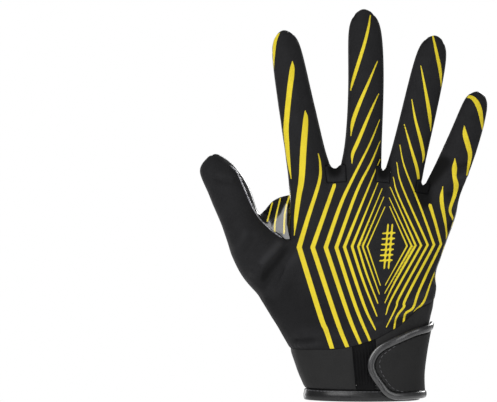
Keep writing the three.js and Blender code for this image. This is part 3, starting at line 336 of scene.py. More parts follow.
class GloveColours(bpy.types.PropertyGroup):
    knit: bpy.props.FloatVectorProperty(
        name="Knit", description="Colour of the back's knit", subtype="COLOR", size=3, min=0, max=1,
        default=(0.0130, 0.0130, 0.0140))
    ink: bpy.props.FloatVectorProperty(
        name="Ink", description="Colour of the printed stripes", subtype="COLOR", size=3, min=0, max=1,
        default=(0.82, 0.655, 0.034))
    silicone: bpy.props.FloatVectorProperty(
        name="Silicone", description="Colour of the palm's coating", subtype="COLOR", size=3, min=0, max=1,
        default=(0.0045, 0.0045, 0.005))
    cuff: bpy.props.FloatVectorProperty(
        name="Cuff", description="Colour of the cuff's cloth", subtype="COLOR", size=3, min=0, max=1,
        default=(0.0130, 0.0130, 0.0132))
    trim: bpy.props.FloatVectorProperty(
        name="Trim", description="Colour of the coated bindings", subtype="COLOR", size=3, min=0, max=1,
        default=(0.0075, 0.0075, 0.008))


class GloveCloth(bpy.types.PropertyGroup):
    pucker: bpy.props.FloatProperty(
        name="Pucker", description="Height of the puckers along the seams", default=0.00022, min=0,
        max=0.001, unit="LENGTH", precision=5)
    pucker_pitch: bpy.props.FloatProperty(
        name="Pucker pitch", description="Distance from pucker to pucker", default=0.0044, min=0.002,
        max=0.01, unit="LENGTH", precision=4)
    seam_dip: bpy.props.FloatProperty(
        name="Seam dip", description="How far a panel is drawn in at its seams", default=0.00042, min=0,
        max=0.001, unit="LENGTH", precision=5)
    seam_reach: bpy.props.FloatProperty(
        name="Seam reach", description="Width of the strip that a seam draws in", default=0.0021, min=0.0005,
        max=0.005, unit="LENGTH", precision=4)


class GloveThread(bpy.types.PropertyGroup):
    length: bpy.props.FloatProperty(
        name="Stitch", description="Visible length of a stitch", default=0.0021, min=0.001, max=0.004,
        unit="LENGTH", precision=4)
    pitch: bpy.props.FloatProperty(
        name="Pitch", description="Distance from stitch to stitch", default=0.0029, min=0.0015, max=0.006,
        unit="LENGTH", precision=4)
    thickness: bpy.props.FloatProperty(
        name="Thread", description="Thickness of the thread", default=0.00042, min=0.0002, max=0.001,
        unit="LENGTH", precision=5)


class GloveStudio(bpy.types.PropertyGroup):
    camera_distance: bpy.props.FloatProperty(
        name="Camera distance", description="From the camera to the glove", default=1.5, min=0.5, max=5,
        unit="LENGTH")
    frame_width: bpy.props.FloatProperty(
        name="Frame width", description="Width of the view at the glove", default=0.286, min=0.1, max=1,
        unit="LENGTH")
    floor_drop: bpy.props.FloatProperty(
        name="Floor drop", description="Height at which the glove is held over the floor", default=0.3,
        min=0.01, max=1, unit="LENGTH")


def select_none():
    if bpy.context.object and bpy.context.object.mode != "OBJECT":
        bpy.ops.object.mode_set(mode="OBJECT")
    bpy.ops.object.select_all(action="DESELECT")


def select_only(piece):
    select_none()
    bpy.context.view_layer.objects.active = piece
    piece.select_set(True)


def put_in_scene(name, data):
    """A new object with the given data."""
    piece = bpy.data.objects.new(name, data)
    bpy.context.scene.collection.objects.link(piece)
    return piece


def positions(mesh):
    flat = np.empty(len(mesh.vertices) * 3)
    mesh.vertices.foreach_get("co", flat)
    return flat.reshape(-1, 3)


def normals(mesh):
    flat = np.empty(len(mesh.vertices) * 3)
    mesh.vertex_normals.foreach_get("vector", flat)
    return flat.reshape(-1, 3)


def place_vertices(mesh, points):
    mesh.vertices.foreach_set("co", np.ascontiguousarray(points, dtype=float).ravel())
    mesh.update()


def search_tree(points):
    """A tree that finds the nearest of the points, numbered in their order."""
    tree = KDTree(len(points))
    for k, point in enumerate(points):
        tree.insert(Vector(point), k)
    tree.balance()
    return tree


def spread(start, faces_of_edges):
    """The faces that are reached from one face without crossing a rim."""
    seen = {start}
    front = [start]
    while front:
        face = front.pop()
        for other in faces_of_edges[face]:
            if other not in seen:
                seen.add(other)
                front.append(other)
    return seen


def mark_walls(piece, both=False):
    """Creases the rims, and gives the outer wall, or both walls, material 0 and all else material 1."""
    grid = bmesh.new()
    grid.from_mesh(piece.data)
    grid.normal_update()
    grid.faces.ensure_lookup_table()
    crease = grid.edges.layers.float.get("crease_edge") or grid.edges.layers.float.new("crease_edge")
    neighbours = {face.index: [] for face in grid.faces}
    for edge in grid.edges:
        if len(edge.link_faces) != 2:
            raise RuntimeError(f"{piece.name}: its wall is open at an edge")
        if edge.calc_face_angle() > RIM_ANGLE:
            edge[crease] = 1.0
            continue
        one, two = (face.index for face in edge.link_faces)
        neighbours[one].append(two)
        neighbours[two].append(one)
    left = set(neighbours)
    walls = []
    while left:
        wall = spread(next(iter(left)), neighbours)
        left -= wall
        walls.append((sum(grid.faces[k].calc_area() for k in wall), wall))
    walls.sort(key=lambda entry: -entry[0])
    for face in grid.faces:
        face.material_index = 1
        face.smooth = True
    broad = [wall for area, wall in walls if area > BROAD_WALL] if both else [walls[0][1]]
    for index in set().union(*broad):
        grid.faces[index].material_index = 0
    grid.to_mesh(piece.data)
    grid.free()


def cloth_copy(name, node, outer, lining, levels=2, finer=False, both=False):
    """A smooth copy of a CAD node, whose surface stays close to the node's own vertices."""
    mesh = frame["nodes"][node].data.copy()
    mesh.name = name
    mesh.materials.clear()
    mesh.materials.append(outer)
    mesh.materials.append(lining)
    piece = put_in_scene(name, mesh)
    select_only(piece)
    bpy.ops.object.mode_set(mode="EDIT")
    bpy.ops.mesh.select_all(action="SELECT")
    bpy.ops.mesh.customdata_custom_splitnormals_clear()
    bpy.ops.mesh.remove_doubles(threshold=MERGE_DISTANCE)
    bpy.ops.mesh.tris_convert_to_quads(face_threshold=QUAD_ANGLE, shape_threshold=QUAD_ANGLE)
    bpy.ops.object.mode_set(mode="OBJECT")
    mark_walls(piece, both)
    smooth = piece.modifiers.new("Smooth cloth", "SUBSURF")
    smooth.levels = smooth.render_levels = levels
    before = positions(piece.data)
    shape = piece.evaluated_get(bpy.context.evaluated_depsgraph_get()).data
    after = positions(shape)[:len(before)]
    drift = np.linalg.norm(before - after, axis=1)
    if drift.max() > LARGEST_DRIFT:
        raise RuntimeError(f"{name}: the smooth surface left its vertices by {drift.max():.4f} m")
    place_vertices(piece.data, before + (before - after) * PUT_BACK)
    bpy.ops.object.modifier_apply(modifier=smooth.name)
    if finer:
        bpy.ops.object.mode_set(mode="EDIT")
        bpy.ops.mesh.select_mode(type="FACE")
        bpy.ops.mesh.select_all(action="DESELECT")
        piece.active_material_index = 0
        bpy.ops.object.material_slot_select()
        bpy.ops.mesh.subdivide(number_cuts=1)
        bpy.ops.object.mode_set(mode="OBJECT")
    for face in piece.data.polygons:
        face.use_smooth = True
    return piece


def on_back(x, y):
    """A point of the back's pattern as x and z in mm."""
    return ((x - BACK_MIDDLE) * UNIT, (PATTERN_TOP - y) * UNIT)


def on_palm(x, y):
    """A point of the palm's pattern as x and z in mm."""
    return ((PALM_MIDDLE - x) * UNIT, (PATTERN_TOP - y) * UNIT)


def flowing(points, steps=5):
    """Points of a smooth curve through the given ones."""
    points = np.asarray(points, float)
    if len(points) < 3:
        return points
    padded_points = np.vstack([2 * points[0] - points[1], points, 2 * points[-1] - points[-2]])
    made = []
    for k in range(1, len(padded_points) - 2):
        a, b, c, d = padded_points[k - 1:k + 3]
        for step in range(steps):
            t = step / steps
            made.append(0.5 * (2 * b + (c - a) * t + (2 * a - 5 * b + 4 * c - d) * t ** 2
                               + (3 * b - a - 3 * c + d) * t ** 3))
    made.append(padded_points[-2])
    return np.array(made)


def chevron_line(place, upper, apex, lower, widths):
    """One chevron as rows of x, z and half width in mm, and the row of its sharp apex."""
    top = flowing([place(*p) for p in upper + [apex]])
    bottom = flowing([place(*p) for p in [apex] + lower])
    thin, broad, end = (width * UNIT / 2 for width in widths)
    rise = np.linspace(0, 1, len(top)) ** 0.8
    fall = np.linspace(0, 1, len(bottom)) ** 2
    top_rows = np.column_stack([top, thin + (broad - thin) * rise])
    bottom_rows = np.column_stack([bottom, broad + (end - broad) * fall])
    return np.vstack([top_rows, bottom_rows[1:]]), len(top) - 1


def stripe_line(place, points):
    """One stripe as rows of x, z and half width in mm; it has no apex."""
    rows = [(*place(x, y), width * UNIT / 2) for x, y, width in points]
    return flowing(rows), None


def dash_lines(place, middles, way):
    """Short stripes that lie one way through the given middles."""
    across, down = (part * DASH_HALF for part in way)
    for x, y in middles:
        yield stripe_line(place, [(x - across, y - down, DASH_WIDTH), (x + across, y + down, DASH_WIDTH)])


def back_lines():
    lines = [chevron_line(on_back, *entry) for entry in THUMB_CHEVRONS + LITTLE_CHEVRONS]
    lines += [stripe_line(on_back, points) for points in BACK_STRIPES]
    for x, y in LACE_RUNGS:
        ends = [(x - RUNG_HALF, y + RUNG_RISE, RUNG_WIDTH), (x + RUNG_HALF, y - RUNG_RISE, RUNG_WIDTH)]
        lines.append(stripe_line(on_back, ends))
    return lines


def palm_lines():
    lines = []
    for upper, apex, lower in PALM_CHEVRONS:
        broad = stripe_line(on_palm, [(*p, PALM_BROAD) for p in [apex] + lower])
        marks = [(*p, PALM_THIN + PALM_GROWTH * k) for k, p in enumerate(upper + [apex])]
        lines += [broad, stripe_line(on_palm, marks)]
    lines += [stripe_line(on_palm, points) for points in PALM_STRIPES]
    lines += list(dash_lines(on_palm, FALLING_DASHES, FALLING_WAY))
    lines += list(dash_lines(on_palm, RISING_DASHES, RISING_WAY))
    return lines


def line_distance(points, lines):
    """For points in mm: the side distance to the nearest line, its half width and the plain distance."""
    best = np.full(len(points), FAR_FROM_PRINT)
    facts = np.tile([FAR_FROM_PRINT, 0.0, FAR_FROM_PRINT], (len(points), 1))
    for rows, apex in lines:
        reach = rows[:, 2].max() + LINE_MARGIN
        low = rows[:, :2].min(0) - reach
        high = rows[:, :2].max(0) + reach
        near = np.nonzero(((points > low) & (points < high)).all(1))[0]
        if not len(near):
            continue
        here = points[near]
        parts = []
        for start, stop in zip(rows[:-1], rows[1:]):
            along = stop[:2] - start[:2]
            length = math.hypot(*along)
            unit = along / length
            offset = here - start[:2]
            run = offset @ unit / length
            across = offset[:, 0] * unit[1] - offset[:, 1] * unit[0]
            held = np.clip(run, 0, 1)
            away = np.hypot(*(offset - held[:, None] * along).T)
            width = np.maximum(start[2] + (stop[2] - start[2]) * held, THINNEST_HALF)
            parts.append((run, across, away, width))
        for k, (run, across, away, width) in enumerate(parts):
            metric = away.copy()
            if apex is not None and k in (apex - 1, apex):
                other = parts[apex if k == apex - 1 else apex - 1]
                outside = (parts[apex - 1][0] > 1) & (parts[apex][0] < 0)
                metric = np.where(outside, np.maximum(abs(across), abs(other[1])), metric)
            closer = metric - width < best[near]
            chosen = near[closer]
            best[chosen] = (metric - width)[closer]
            signed = np.where(across < 0, -metric, metric)
            facts[chosen] = np.column_stack([signed, width, metric])[closer]
    facts[:, [0, 2]] = np.clip(facts[:, [0, 2]], -KEPT_REACH, KEPT_REACH)
    return facts


def store_number(mesh, name, values):
    layer = mesh.attributes.new(name, "FLOAT", "POINT")
    layer.data.foreach_set("value", np.ascontiguousarray(values, dtype=np.float32))


def outer_vertices(mesh):
    """True for each vertex of the outer wall."""
    outer = np.zeros(len(mesh.vertices), bool)
    for face in mesh.polygons:
        if face.material_index == 0:
            outer[list(face.vertices)] = True
    return outer


def print_on(piece, lines, web=None):
    """Keeps at each vertex where it lies by the nearest printed line; web is the print of the web's back."""
    points = positions(piece.data) * 1000
    facts = line_distance(points[:, [0, 2]], lines)
    if web is not None:
        x, z = points[:, 0], points[:, 2]
        behind = (x > WEB_LEFT) & (x < WEB_RIGHT) & (z > WEB_LOW) & (z < WEB_HIGH)
        behind &= normals(piece.data)[:, 1] < WEB_FACING
        facts[behind] = line_distance(points[behind][:, [0, 2]], web)
    layer = piece.data.attributes.new("print", "FLOAT_VECTOR", "POINT")
    layer.data.foreach_set("vector", np.ascontiguousarray(facts, dtype=np.float32).ravel())


class Rim:
    """The edge of a piece's outer wall, as closed runs of points with what lies inwards at each."""

    def __init__(self, piece):
        grid = bmesh.new()
        grid.from_mesh(piece.data)
        grid.normal_update()
        links = {}
        facts = {}
        for edge in grid.edges:
            faces = edge.link_faces
            if len(faces) != 2 or faces[0].material_index == faces[1].material_index:
                continue
            face = faces[0] if faces[0].material_index == 0 else faces[1]
            one, two = edge.verts
            links.setdefault(one.index, []).append(two.index)
            links.setdefault(two.index, []).append(one.index)
            middle = (one.co + two.co) / 2
            inwards = face.calc_center_median() - middle
            for vert in (one, two):
                had = facts.get(vert.index)
                if had is None:
                    facts[vert.index] = [vert.co.copy(), inwards.copy(), face.normal.copy()]
                else:
                    had[1] += inwards
                    had[2] += face.normal
        self.runs = []
        left = set(links)
        while left:
            start = min(left)
            run = [start]
            left.discard(start)
            here = start
            while True:
                onward = [k for k in links[here] if k in left]
                if not onward:
                    break
                here = onward[0]
                left.discard(here)
                run.append(here)
            if len(run) > 8:
                self.runs.append([facts[k] for k in run])
        grid.free()
        self.tree = KDTree(sum(len(run) for run in self.runs))
        self.travel = []
        for run in self.runs:
            gone = 0.0
            last = run[0][0]
            for point, _, _ in run:
                gone += (point - last).length
                last = point
                self.tree.insert(point, len(self.travel))
                self.travel.append(gone)
        self.tree.balance()


def soft_noise(points, pitch, seed):
    """A smooth noise between about -1 and 1, as a sum of waves in fixed directions."""
    total = np.zeros(len(points))
    for k in range(7):
        angle = 2.399963 * (k + 1) + seed
        tilt = math.sin(1.7 * (k + 1) + 2.3 * seed)
        flat = math.sqrt(1 - tilt * tilt)
        way = np.array([math.cos(angle) * flat, math.sin(angle) * flat, tilt])
        wave = 2 * math.pi / (pitch * (0.7 + 0.14 * k))
        total += np.sin(points @ way * wave + 1.3 * k + 5.1 * seed)
    return total / 3.2


def fold_height(points, place, folds):
    """Height in mm of soft folds at points in mm, each a rounded ridge or hollow along its line."""
    total = np.zeros(len(points))
    for marks, height, half in folds:
        line = flowing([place(*p) for p in marks])
        away = np.full(len(points), 1e6)
        run = np.zeros(len(points))
        for k, (start, stop) in enumerate(zip(line[:-1], line[1:])):
            along = stop - start
            held = np.clip((points - start) @ along / (along @ along), 0, 1)
            gap = np.hypot(*(points - start - held[:, None] * along).T)
            closer = gap < away
            away[closer] = gap[closer]
            run[closer] = (k + held[closer]) / (len(line) - 1)
        ends = np.clip(np.sin(np.pi * np.clip(run, 0.02, 0.98)) * 1.6, 0, 1)
        total += height * ends * np.exp(-(away / half) ** 2)
    return total


def work_surface(piece, folds=None, noise=(0.05, 9.0), pucker=1.0, only_facing=None, flush=False):
    """Presses folds, seam dips, puckers and unevenness into a piece's outer wall."""
    cloth = bpy.context.scene.glove_cloth
    mesh = piece.data
    points = positions(mesh)
    ways = normals(mesh)
    outer = outer_vertices(mesh)
    rim = Rim(piece)
    reach = np.zeros(len(points))
    travel = np.zeros(len(points))
    for k in np.nonzero(outer)[0]:
        _, index, gap = rim.tree.find(Vector(points[k]))
        reach[k] = gap
        travel[k] = rim.travel[index]
    height = np.zeros(len(points))
    inside = np.clip(reach / CALM_EDGE, 0, 1)
    inside = inside * inside * (3 - 2 * inside)
    if folds:
        fold = fold_height(points[:, [0, 2]] * 1000, folds[0], folds[1]) * MM
        if only_facing:
            fold *= np.clip(ways[:, 1] * only_facing * 3 + 0.4, 0, 1)
        height += fold * inside
    amount, pitch = noise
    height += soft_noise(points * 1000, pitch, 1.0) * amount * MM * inside
    near = np.clip(1 - reach / PUCKER_REACH, 0, 1)
    wave = np.sin(2 * math.pi * travel / cloth.pucker_pitch + 1.4 * np.sin(travel * PUCKER_DRIFT))
    if only_facing:
        near = near * np.clip(ways[:, 1] * only_facing * 2.5, 0, 1)
    height += wave * near * inside ** 0.5 * cloth.pucker * pucker
    dip = np.clip(1 - reach / cloth.seam_reach, 0, 1) ** 2
    # A flush piece isn't drawn in where it faces the back.
    if flush:
        dip *= 1 - np.clip((-ways[:, 1] - 0.45) * 4, 0, 1)
    height -= dip * cloth.seam_dip
    height[~outer] = 0
    place_vertices(mesh, points + ways * height[:, None])


def press_hem(hem):
    """Gives the hem's binding its roll below and a flat stitched strip above."""
    mesh = hem.data
    points = positions(mesh)
    up = points[:, 2] * 1000
    ripple = HEM_RIPPLE * np.sin(np.arctan2(points[:, 1], points[:, 0]) * HEM_RIPPLES)
    step = HEM_STEP * np.clip((up - HEM_GROOVE_UP) / HEM_STEP_WIDTH, 0, 1)
    groove = HEM_GROOVE * np.exp(-((up - HEM_GROOVE_UP - ripple) / HEM_GROOVE_HALF) ** 2)
    fold = -step - groove
    outward = (normals(mesh)[:, :2] * points[:, :2]).sum(1) > 0
    fold[~outward] = 0
    place_vertices(mesh, points + normals(mesh) * fold[:, None] * MM)


def reach_up(piece, low, lift):
    """Moves a piece's upper edge up by lift, so that no light comes through the seam over it."""
    mesh = piece.data
    points = positions(mesh)
    rim = Rim(piece)
    for k, point in enumerate(points):
        if point[2] < low:
            continue
        spot, _, gap = rim.tree.find(Vector(point))
        if spot.z > low:
            points[k, 2] += lift * max(0.0, 1 - gap / LIFT_REACH)
    place_vertices(mesh, points)


def soft_shade(points):
    """How deep each point lies in one of the soft painted shades of the back."""
    flat = points[:, [0, 2]] * 1000
    shade = np.zeros(len(points))
    for start, end, reach, depth in SHADED:
        low = np.array(on_back(*start))
        run = np.array(on_back(*end)) - low
        along = np.clip((flat - low) @ run / max(run @ run, 1e-6), 0, 1)
        gap = np.hypot(*(flat - low - along[:, None] * run).T)
        near = np.clip(1.15 - gap / reach, 0, 1)
        shade = np.maximum(shade, depth * near * near * (3 - 2 * near))
    return shade


def paint_back_light_and_shade(piece):
    """Keeps each vertex's painted shade: by the strips between the fingers, in the soft painted shades, and
    painted light and shade from the folds.
    """
    names = [name for name in sorted(frame["nodes"]) if name.startswith("fourchette")]
    strips = search_tree(np.vstack([positions(frame["nodes"][name].data) for name in names]))
    rim = [point for run in Rim(piece).runs for point, _, _ in run]
    beside = [(point.x, 0, point.z) for point in rim if strips.find(point)[2] < STRIP_NEAR]
    tree = search_tree(beside)
    mesh = piece.data
    points = positions(mesh)
    shade = soft_shade(points)
    # Painted shade on the back's rims beside a strip between the fingers, where the wall turns sideways.
    aside = normals(mesh)[:, 1] > -0.75
    for k in np.nonzero(outer_vertices(mesh) & aside)[0]:
        gap = tree.find(Vector((points[k, 0], 0, points[k, 2])))[2] * 1000
        shade[k] = max(shade[k], STRIP_SHADE * max(0.0, 1 - gap / STRIP_SHADE_REACH))
    # Painted light on the fold ridges and painted shade in the fold hollows, where the outer wall faces out
    # from the back.
    folds = fold_height(points[:, [0, 2]] * 1000, on_back, BACK_FOLDS)
    facing = np.clip(-normals(mesh)[:, 1] * 2, 0, 1) * outer_vertices(mesh)
    relief = np.clip(-folds * FOLD_SHADE, LIGHTEST_RIDGE, DARKEST_HOLLOW) * facing
    store_number(mesh, "shade", np.where(relief > 0, np.maximum(shade, relief), shade + relief))


class Wire:
    """A number socket in a material, on which plain arithmetic adds Math nodes."""

    def __init__(self, recipe, socket):
        self.recipe = recipe
        self.socket = socket

    def maths(self, operation, *others):
        return self.recipe.wire("ShaderNodeMath", {"operation": operation}, dict(enumerate((self, *others))))

    def __add__(self, other):
        return self.maths("ADD", other)

    def __mul__(self, other):
        return self.maths("MULTIPLY", other)

    def __sub__(self, other):
        return self.maths("SUBTRACT", other)

    def __abs__(self):
        return self.maths("ABSOLUTE")

    def sine(self):
        return self.maths("SINE")

    def ramp(self, low, high, start=0.0, stop=1.0):
        """Goes smoothly from start to stop as the number goes from low to high."""
        ends = {"Value": self, "From Min": low, "From Max": high, "To Min": start, "To Max": stop}
        return self.recipe.wire("ShaderNodeMapRange", {"interpolation_type": "SMOOTHSTEP"}, ends)


class Recipe:
    """A material in the making."""

    def __init__(self, name, **constants):
        self.material = bpy.data.materials.new(name)
        self.material.use_nodes = True
        self.nodes = self.material.node_tree.nodes
        self.links = self.material.node_tree.links
        self.nodes.clear()
        fixed = {key.replace("_", " "): value for key, value in constants.items()}
        self.shader = self.node("ShaderNodeBsdfPrincipled", {}, fixed)
        self.node("ShaderNodeOutputMaterial", {}, {"Surface": self.shader.outputs[0]})

    def node(self, kind, settings, inputs):
        made = self.nodes.new(kind)
        for key, value in settings.items():
            setattr(made, key, value)
        for key, value in inputs.items():
            socket = made.inputs[key]
            if isinstance(value, Wire):
                self.links.new(value.socket, socket)
            elif isinstance(value, bpy.types.NodeSocket):
                self.links.new(value, socket)
            else:
                socket.default_value = value
        return made

    def wire(self, kind, settings, inputs):
        return Wire(self, self.node(kind, settings, inputs).outputs[0])

    def place(self):
        return self.node("ShaderNodeTexCoord", {}, {}).outputs["Object"]

    def axes(self):
        split = self.node("ShaderNodeSeparateXYZ", {}, {"Vector": self.place()})
        return [Wire(self, output) for output in split.outputs]

    def carried(self, name):
        """A number that the piece's vertices carry."""
        return Wire(self, self.node("ShaderNodeAttribute", {"attribute_name": name}, {}).outputs["Fac"])

    def noise(self, scale, detail=2.0, roughness=0.5):
        return self.wire("ShaderNodeTexNoise", {}, {"Vector": self.place(), "Scale": scale, "Detail": detail,
                                                    "Roughness": roughness})

    def blend(self, share, first, second):
        """A colour between two others; a tuple is a plain colour."""
        mix = self.nodes.new("ShaderNodeMix")
        mix.data_type = "RGBA"
        self.links.new(share.socket, mix.inputs["Factor"])
        for socket, value in ((mix.inputs[6], first), (mix.inputs[7], second)):
            if isinstance(value, tuple):
                socket.default_value = value
            else:
                self.links.new(value, socket)
        return mix.outputs[2]

    def shades(self, share, colour, low, high):
        """A colour between two gains of one colour."""
        return self.blend(share, paint(colour, low), paint(colour, high))

    def bump(self, height, distance, strength, under=None):
        inputs = {"Height": height, "Distance": distance, "Strength": strength}
        if under is not None:
            inputs["Normal"] = under
        return self.node("ShaderNodeBump", {}, inputs).outputs[0]

    def finish(self, **varying):
        for key, value in varying.items():
            socket = self.shader.inputs[key.replace("_", " ")]
            self.links.new(value.socket if isinstance(value, Wire) else value, socket)
        return self.material


def paint(colour, gain):
    """A colour with its parts times the gain."""
    return tuple(min(1.0, part * gain) for part in colour) + (1.0,)


def print_mask(recipe):
    """1 on the printed lines, from the distances that the piece carries."""
    kept = recipe.node("ShaderNodeAttribute", {"attribute_name": "print"}, {}).outputs["Vector"]
    split = recipe.node("ShaderNodeSeparateXYZ", {}, {"Vector": kept})
    side, half, plain = (Wire(recipe, output) for output in split.outputs)
    on_line = (abs(side) - half).ramp(-0.09, 0.09, 1.0, 0.0)
    return on_line * (plain - half).ramp(0.14, 0.27, 1.0, 0.0)


def knit_height(recipe, pitch):
    """Small rounded loops in rows, on the piece's own place."""
    x, y, z = recipe.axes()
    wave = 2 * math.pi / pitch
    rows = (z * wave + (x * wave * 0.5).sine() * 0.8).sine()
    columns = (x * wave + y * wave).sine()
    return rows * 0.5 + columns * 0.5


def printed_knit():
    colours = bpy.context.scene.glove_colours
    recipe = Recipe("printed_knit", Roughness=0.78, Sheen_Weight=0.02, Sheen_Roughness=0.5,
                    Specular_IOR_Level=0.13)
    mask = print_mask(recipe)
    cloud = recipe.noise(160, 3.0).ramp(0.3, 0.7)
    grain = recipe.noise(2600, 1.0)
    dark = recipe.shades(cloud, colours.knit, 0.86, 1.14)
    dark = recipe.blend(grain.ramp(0.35, 0.75), dark, paint(colours.knit, 1.5))
    ink = recipe.shades(cloud, colours.ink, 0.93, 1.0)
    ink = recipe.blend(grain.ramp(0.3, 0.8, 0.0, 0.35), ink, paint(colours.ink, 0.72))
    # Painted light and shade from the shade the vertices carry: lighter on fold ridges, darker in crotches,
    # by the strips, in fold hollows and at the lower left.
    shade = recipe.carried("shade")
    dark = recipe.blend(shade.ramp(-1.0, 0.0, 1.0, 0.0), dark, paint(colours.knit, 2.6))
    dark = recipe.blend(shade.ramp(0.0, 1.0), dark, paint(colours.knit, 0.22))
    height = knit_height(recipe, 0.00052) * 0.5 + grain * 0.6
    return recipe.finish(
        Base_Color=recipe.blend(mask, dark, ink),
        Roughness=mask * -0.22 + 0.78,
        Normal=recipe.bump(height + mask * 0.5, 0.00006, 0.7))


def silicone():
    colours = bpy.context.scene.glove_colours
    recipe = Recipe("silicone_grip", Roughness=0.22, Coat_Weight=0.7, Coat_Roughness=0.08, Coat_IOR=1.45,
                    Specular_IOR_Level=0.4)
    mask = print_mask(recipe)
    waves = recipe.noise(95, 2.0)
    fine = recipe.noise(420, 2.0)
    ink = recipe.shades(fine.ramp(0.3, 0.7), colours.ink, 0.88, 1.0)
    dark = recipe.shades(waves.ramp(0.3, 0.7), colours.silicone, 0.8, 1.3)
    under = recipe.bump(waves, 0.0011, 0.5)
    return recipe.finish(
        Base_Color=recipe.blend(mask, dark, ink),
        Roughness=fine * 0.14 + 0.14,
        Normal=recipe.bump(fine + mask * 0.3, 0.00012, 0.5, under))


def plain_knit(name, colour, gain, pitch=0.0006):
    recipe = Recipe(name, Roughness=0.85, Sheen_Weight=0.02, Sheen_Roughness=0.5, Specular_IOR_Level=0.1)
    cloud = recipe.noise(140, 3.0).ramp(0.3, 0.7)
    grain = recipe.noise(2200, 1.0)
    tone = recipe.shades(cloud, colour, 0.82 * gain, 1.12 * gain)
    tone = recipe.blend(grain.ramp(0.4, 0.8), tone, paint(colour, 1.5 * gain))
    height = knit_height(recipe, pitch) * 0.6 + grain * 0.6
    # The colour darkens to a painted shade where the piece carries shade.
    return recipe.finish(
        Base_Color=recipe.blend(recipe.carried("shade").ramp(0.0, 1.0), tone, paint(colour, 0.22)),
        Roughness=grain * 0.1 + 0.8,
        Normal=recipe.bump(height, 0.00008, 0.8))


def cuff_cloth(name, painted_groove_shade=False):
    """The wrist's laminated fabric; with its second argument it darkens along the border that the piece
    carries, a painted shadow in the groove by the binding.
    """
    colours = bpy.context.scene.glove_colours
    recipe = Recipe(name, Roughness=0.7, Specular_IOR_Level=0.22, Sheen_Weight=0.02, Sheen_Roughness=0.5)
    cloud = recipe.noise(70, 3.0).ramp(0.3, 0.7)
    grain = recipe.noise(1500, 2.0)
    tone = recipe.shades(cloud, colours.cuff, 0.88, 1.12)
    tone = recipe.blend(grain.ramp(0.4, 0.8), tone, paint(colours.cuff, 1.4))
    if painted_groove_shade:
        tone = recipe.blend(recipe.carried("shade").ramp(0.0, 1.0), tone, paint(colours.cuff, 0.15))
    return recipe.finish(
        Base_Color=tone,
        Roughness=grain * 0.2 + 0.58,
        Normal=recipe.bump(grain + recipe.noise(260, 2.0) * 0.8, 0.00012, 0.6))


def coated_leather(name, gain, coat):
    colours = bpy.context.scene.glove_colours
    recipe = Recipe(name, Roughness=0.34, Specular_IOR_Level=coat * 0.8, Coat_Weight=coat,
                    Coat_Roughness=0.38 - coat * 0.3)
    grain = recipe.noise(900, 3.0, 0.6)
    creases = recipe.noise(240, 3.0, 0.6)
    tone = recipe.shades(creases.ramp(0.3, 0.7), colours.trim, 0.8 * gain, 1.25 * gain)
    return recipe.finish(
        Base_Color=recipe.blend(grain.ramp(0.45, 0.75), tone, paint(colours.trim, 1.6 * gain)),
        Roughness=creases * 0.2 + 0.24,
        Normal=recipe.bump(grain * 0.3 + creases, 0.0003, 0.45))


def thread_look_painted_highlight():
    colours = bpy.context.scene.glove_colours
    recipe = Recipe("thread", Roughness=0.5, Specular_IOR_Level=0.5)
    x, y, z = recipe.axes()
    twist = ((x + y + z) * 9000.0).sine()
    # The thread is black; its colour is painted 4 to 9 times lighter than the knit in bands along its twist,
    # a painted highlight.
    return recipe.finish(
        Base_Color=recipe.shades(twist.ramp(-1, 1), colours.knit, 4.0, 9.0),
        Normal=recipe.bump(twist, 0.00005, 0.6))


def turned_silicone_painted_highlight():
    colours = bpy.context.scene.glove_colours
    recipe = Recipe("turned_silicone_painted_highlight", Roughness=0.3, Specular_IOR_Level=0.8, Coat_Weight=1.0,
                    Coat_Roughness=0.12, Coat_IOR=1.6)
    ripple = recipe.noise(700, 2.0)
    # The base colour is the silicone lifted 20 to 70 times: a painted highlight along the turned edge.
    return recipe.finish(
        Base_Color=recipe.shades(ripple.ramp(0.3, 0.7), colours.silicone, 20.0, 70.0),
        Normal=recipe.bump(ripple, 0.0003, 0.5))


def studio_paper():
    recipe = Recipe("studio_paper", Roughness=0.9, Specular_IOR_Level=0.1, Emission_Color=(1, 1, 1, 1),
                    Emission_Strength=0.3)
    cloud = recipe.noise(3, 2.0).ramp(0.3, 0.7)
    return recipe.finish(Base_Color=recipe.blend(cloud, (0.86, 0.86, 0.86, 1), (0.88, 0.88, 0.88, 1)))


LOOKS = {}


def look(name):
    """A material of the glove, made once."""
    if name not in LOOKS:
        colours = bpy.context.scene.glove_colours
        makers = {
            "printed_knit": printed_knit,
            "silicone": silicone,
            # The side strips are the back's knit painted lighter, painted light that evens them with the
            # back where they meet.
            "side_knit": lambda: plain_knit("side_knit", colours.knit, 1.4),
            "lining": lambda: plain_knit("lining_knit", colours.knit, 0.7, 0.0008),
            "elastic": lambda: plain_knit("elastic_rib", colours.knit, 0.4, 0.0005),
            "cuff": lambda: cuff_cloth("cuff_cloth"),
            "tab": lambda: cuff_cloth("tab_cloth", True),
            "leather": lambda: coated_leather("coated_leather", 1.3, 0.34),
            # The tab's binding is the trim leather painted lighter, a painted highlight that the hem's
            # binding doesn't get.
            "tab_edge": lambda: coated_leather("tab_edge_leather_painted_light", 2.8, 0.75),
            "thread": thread_look_painted_highlight,
            "turned": turned_silicone_painted_highlight,
            "paper": studio_paper,
        }
        LOOKS[name] = makers[name]()
    return LOOKS[name]


def hand_over(piece, node, flat, area):
    """Puts a finished cloth piece in its node's place."""
    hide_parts(node)
    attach(piece, "root")


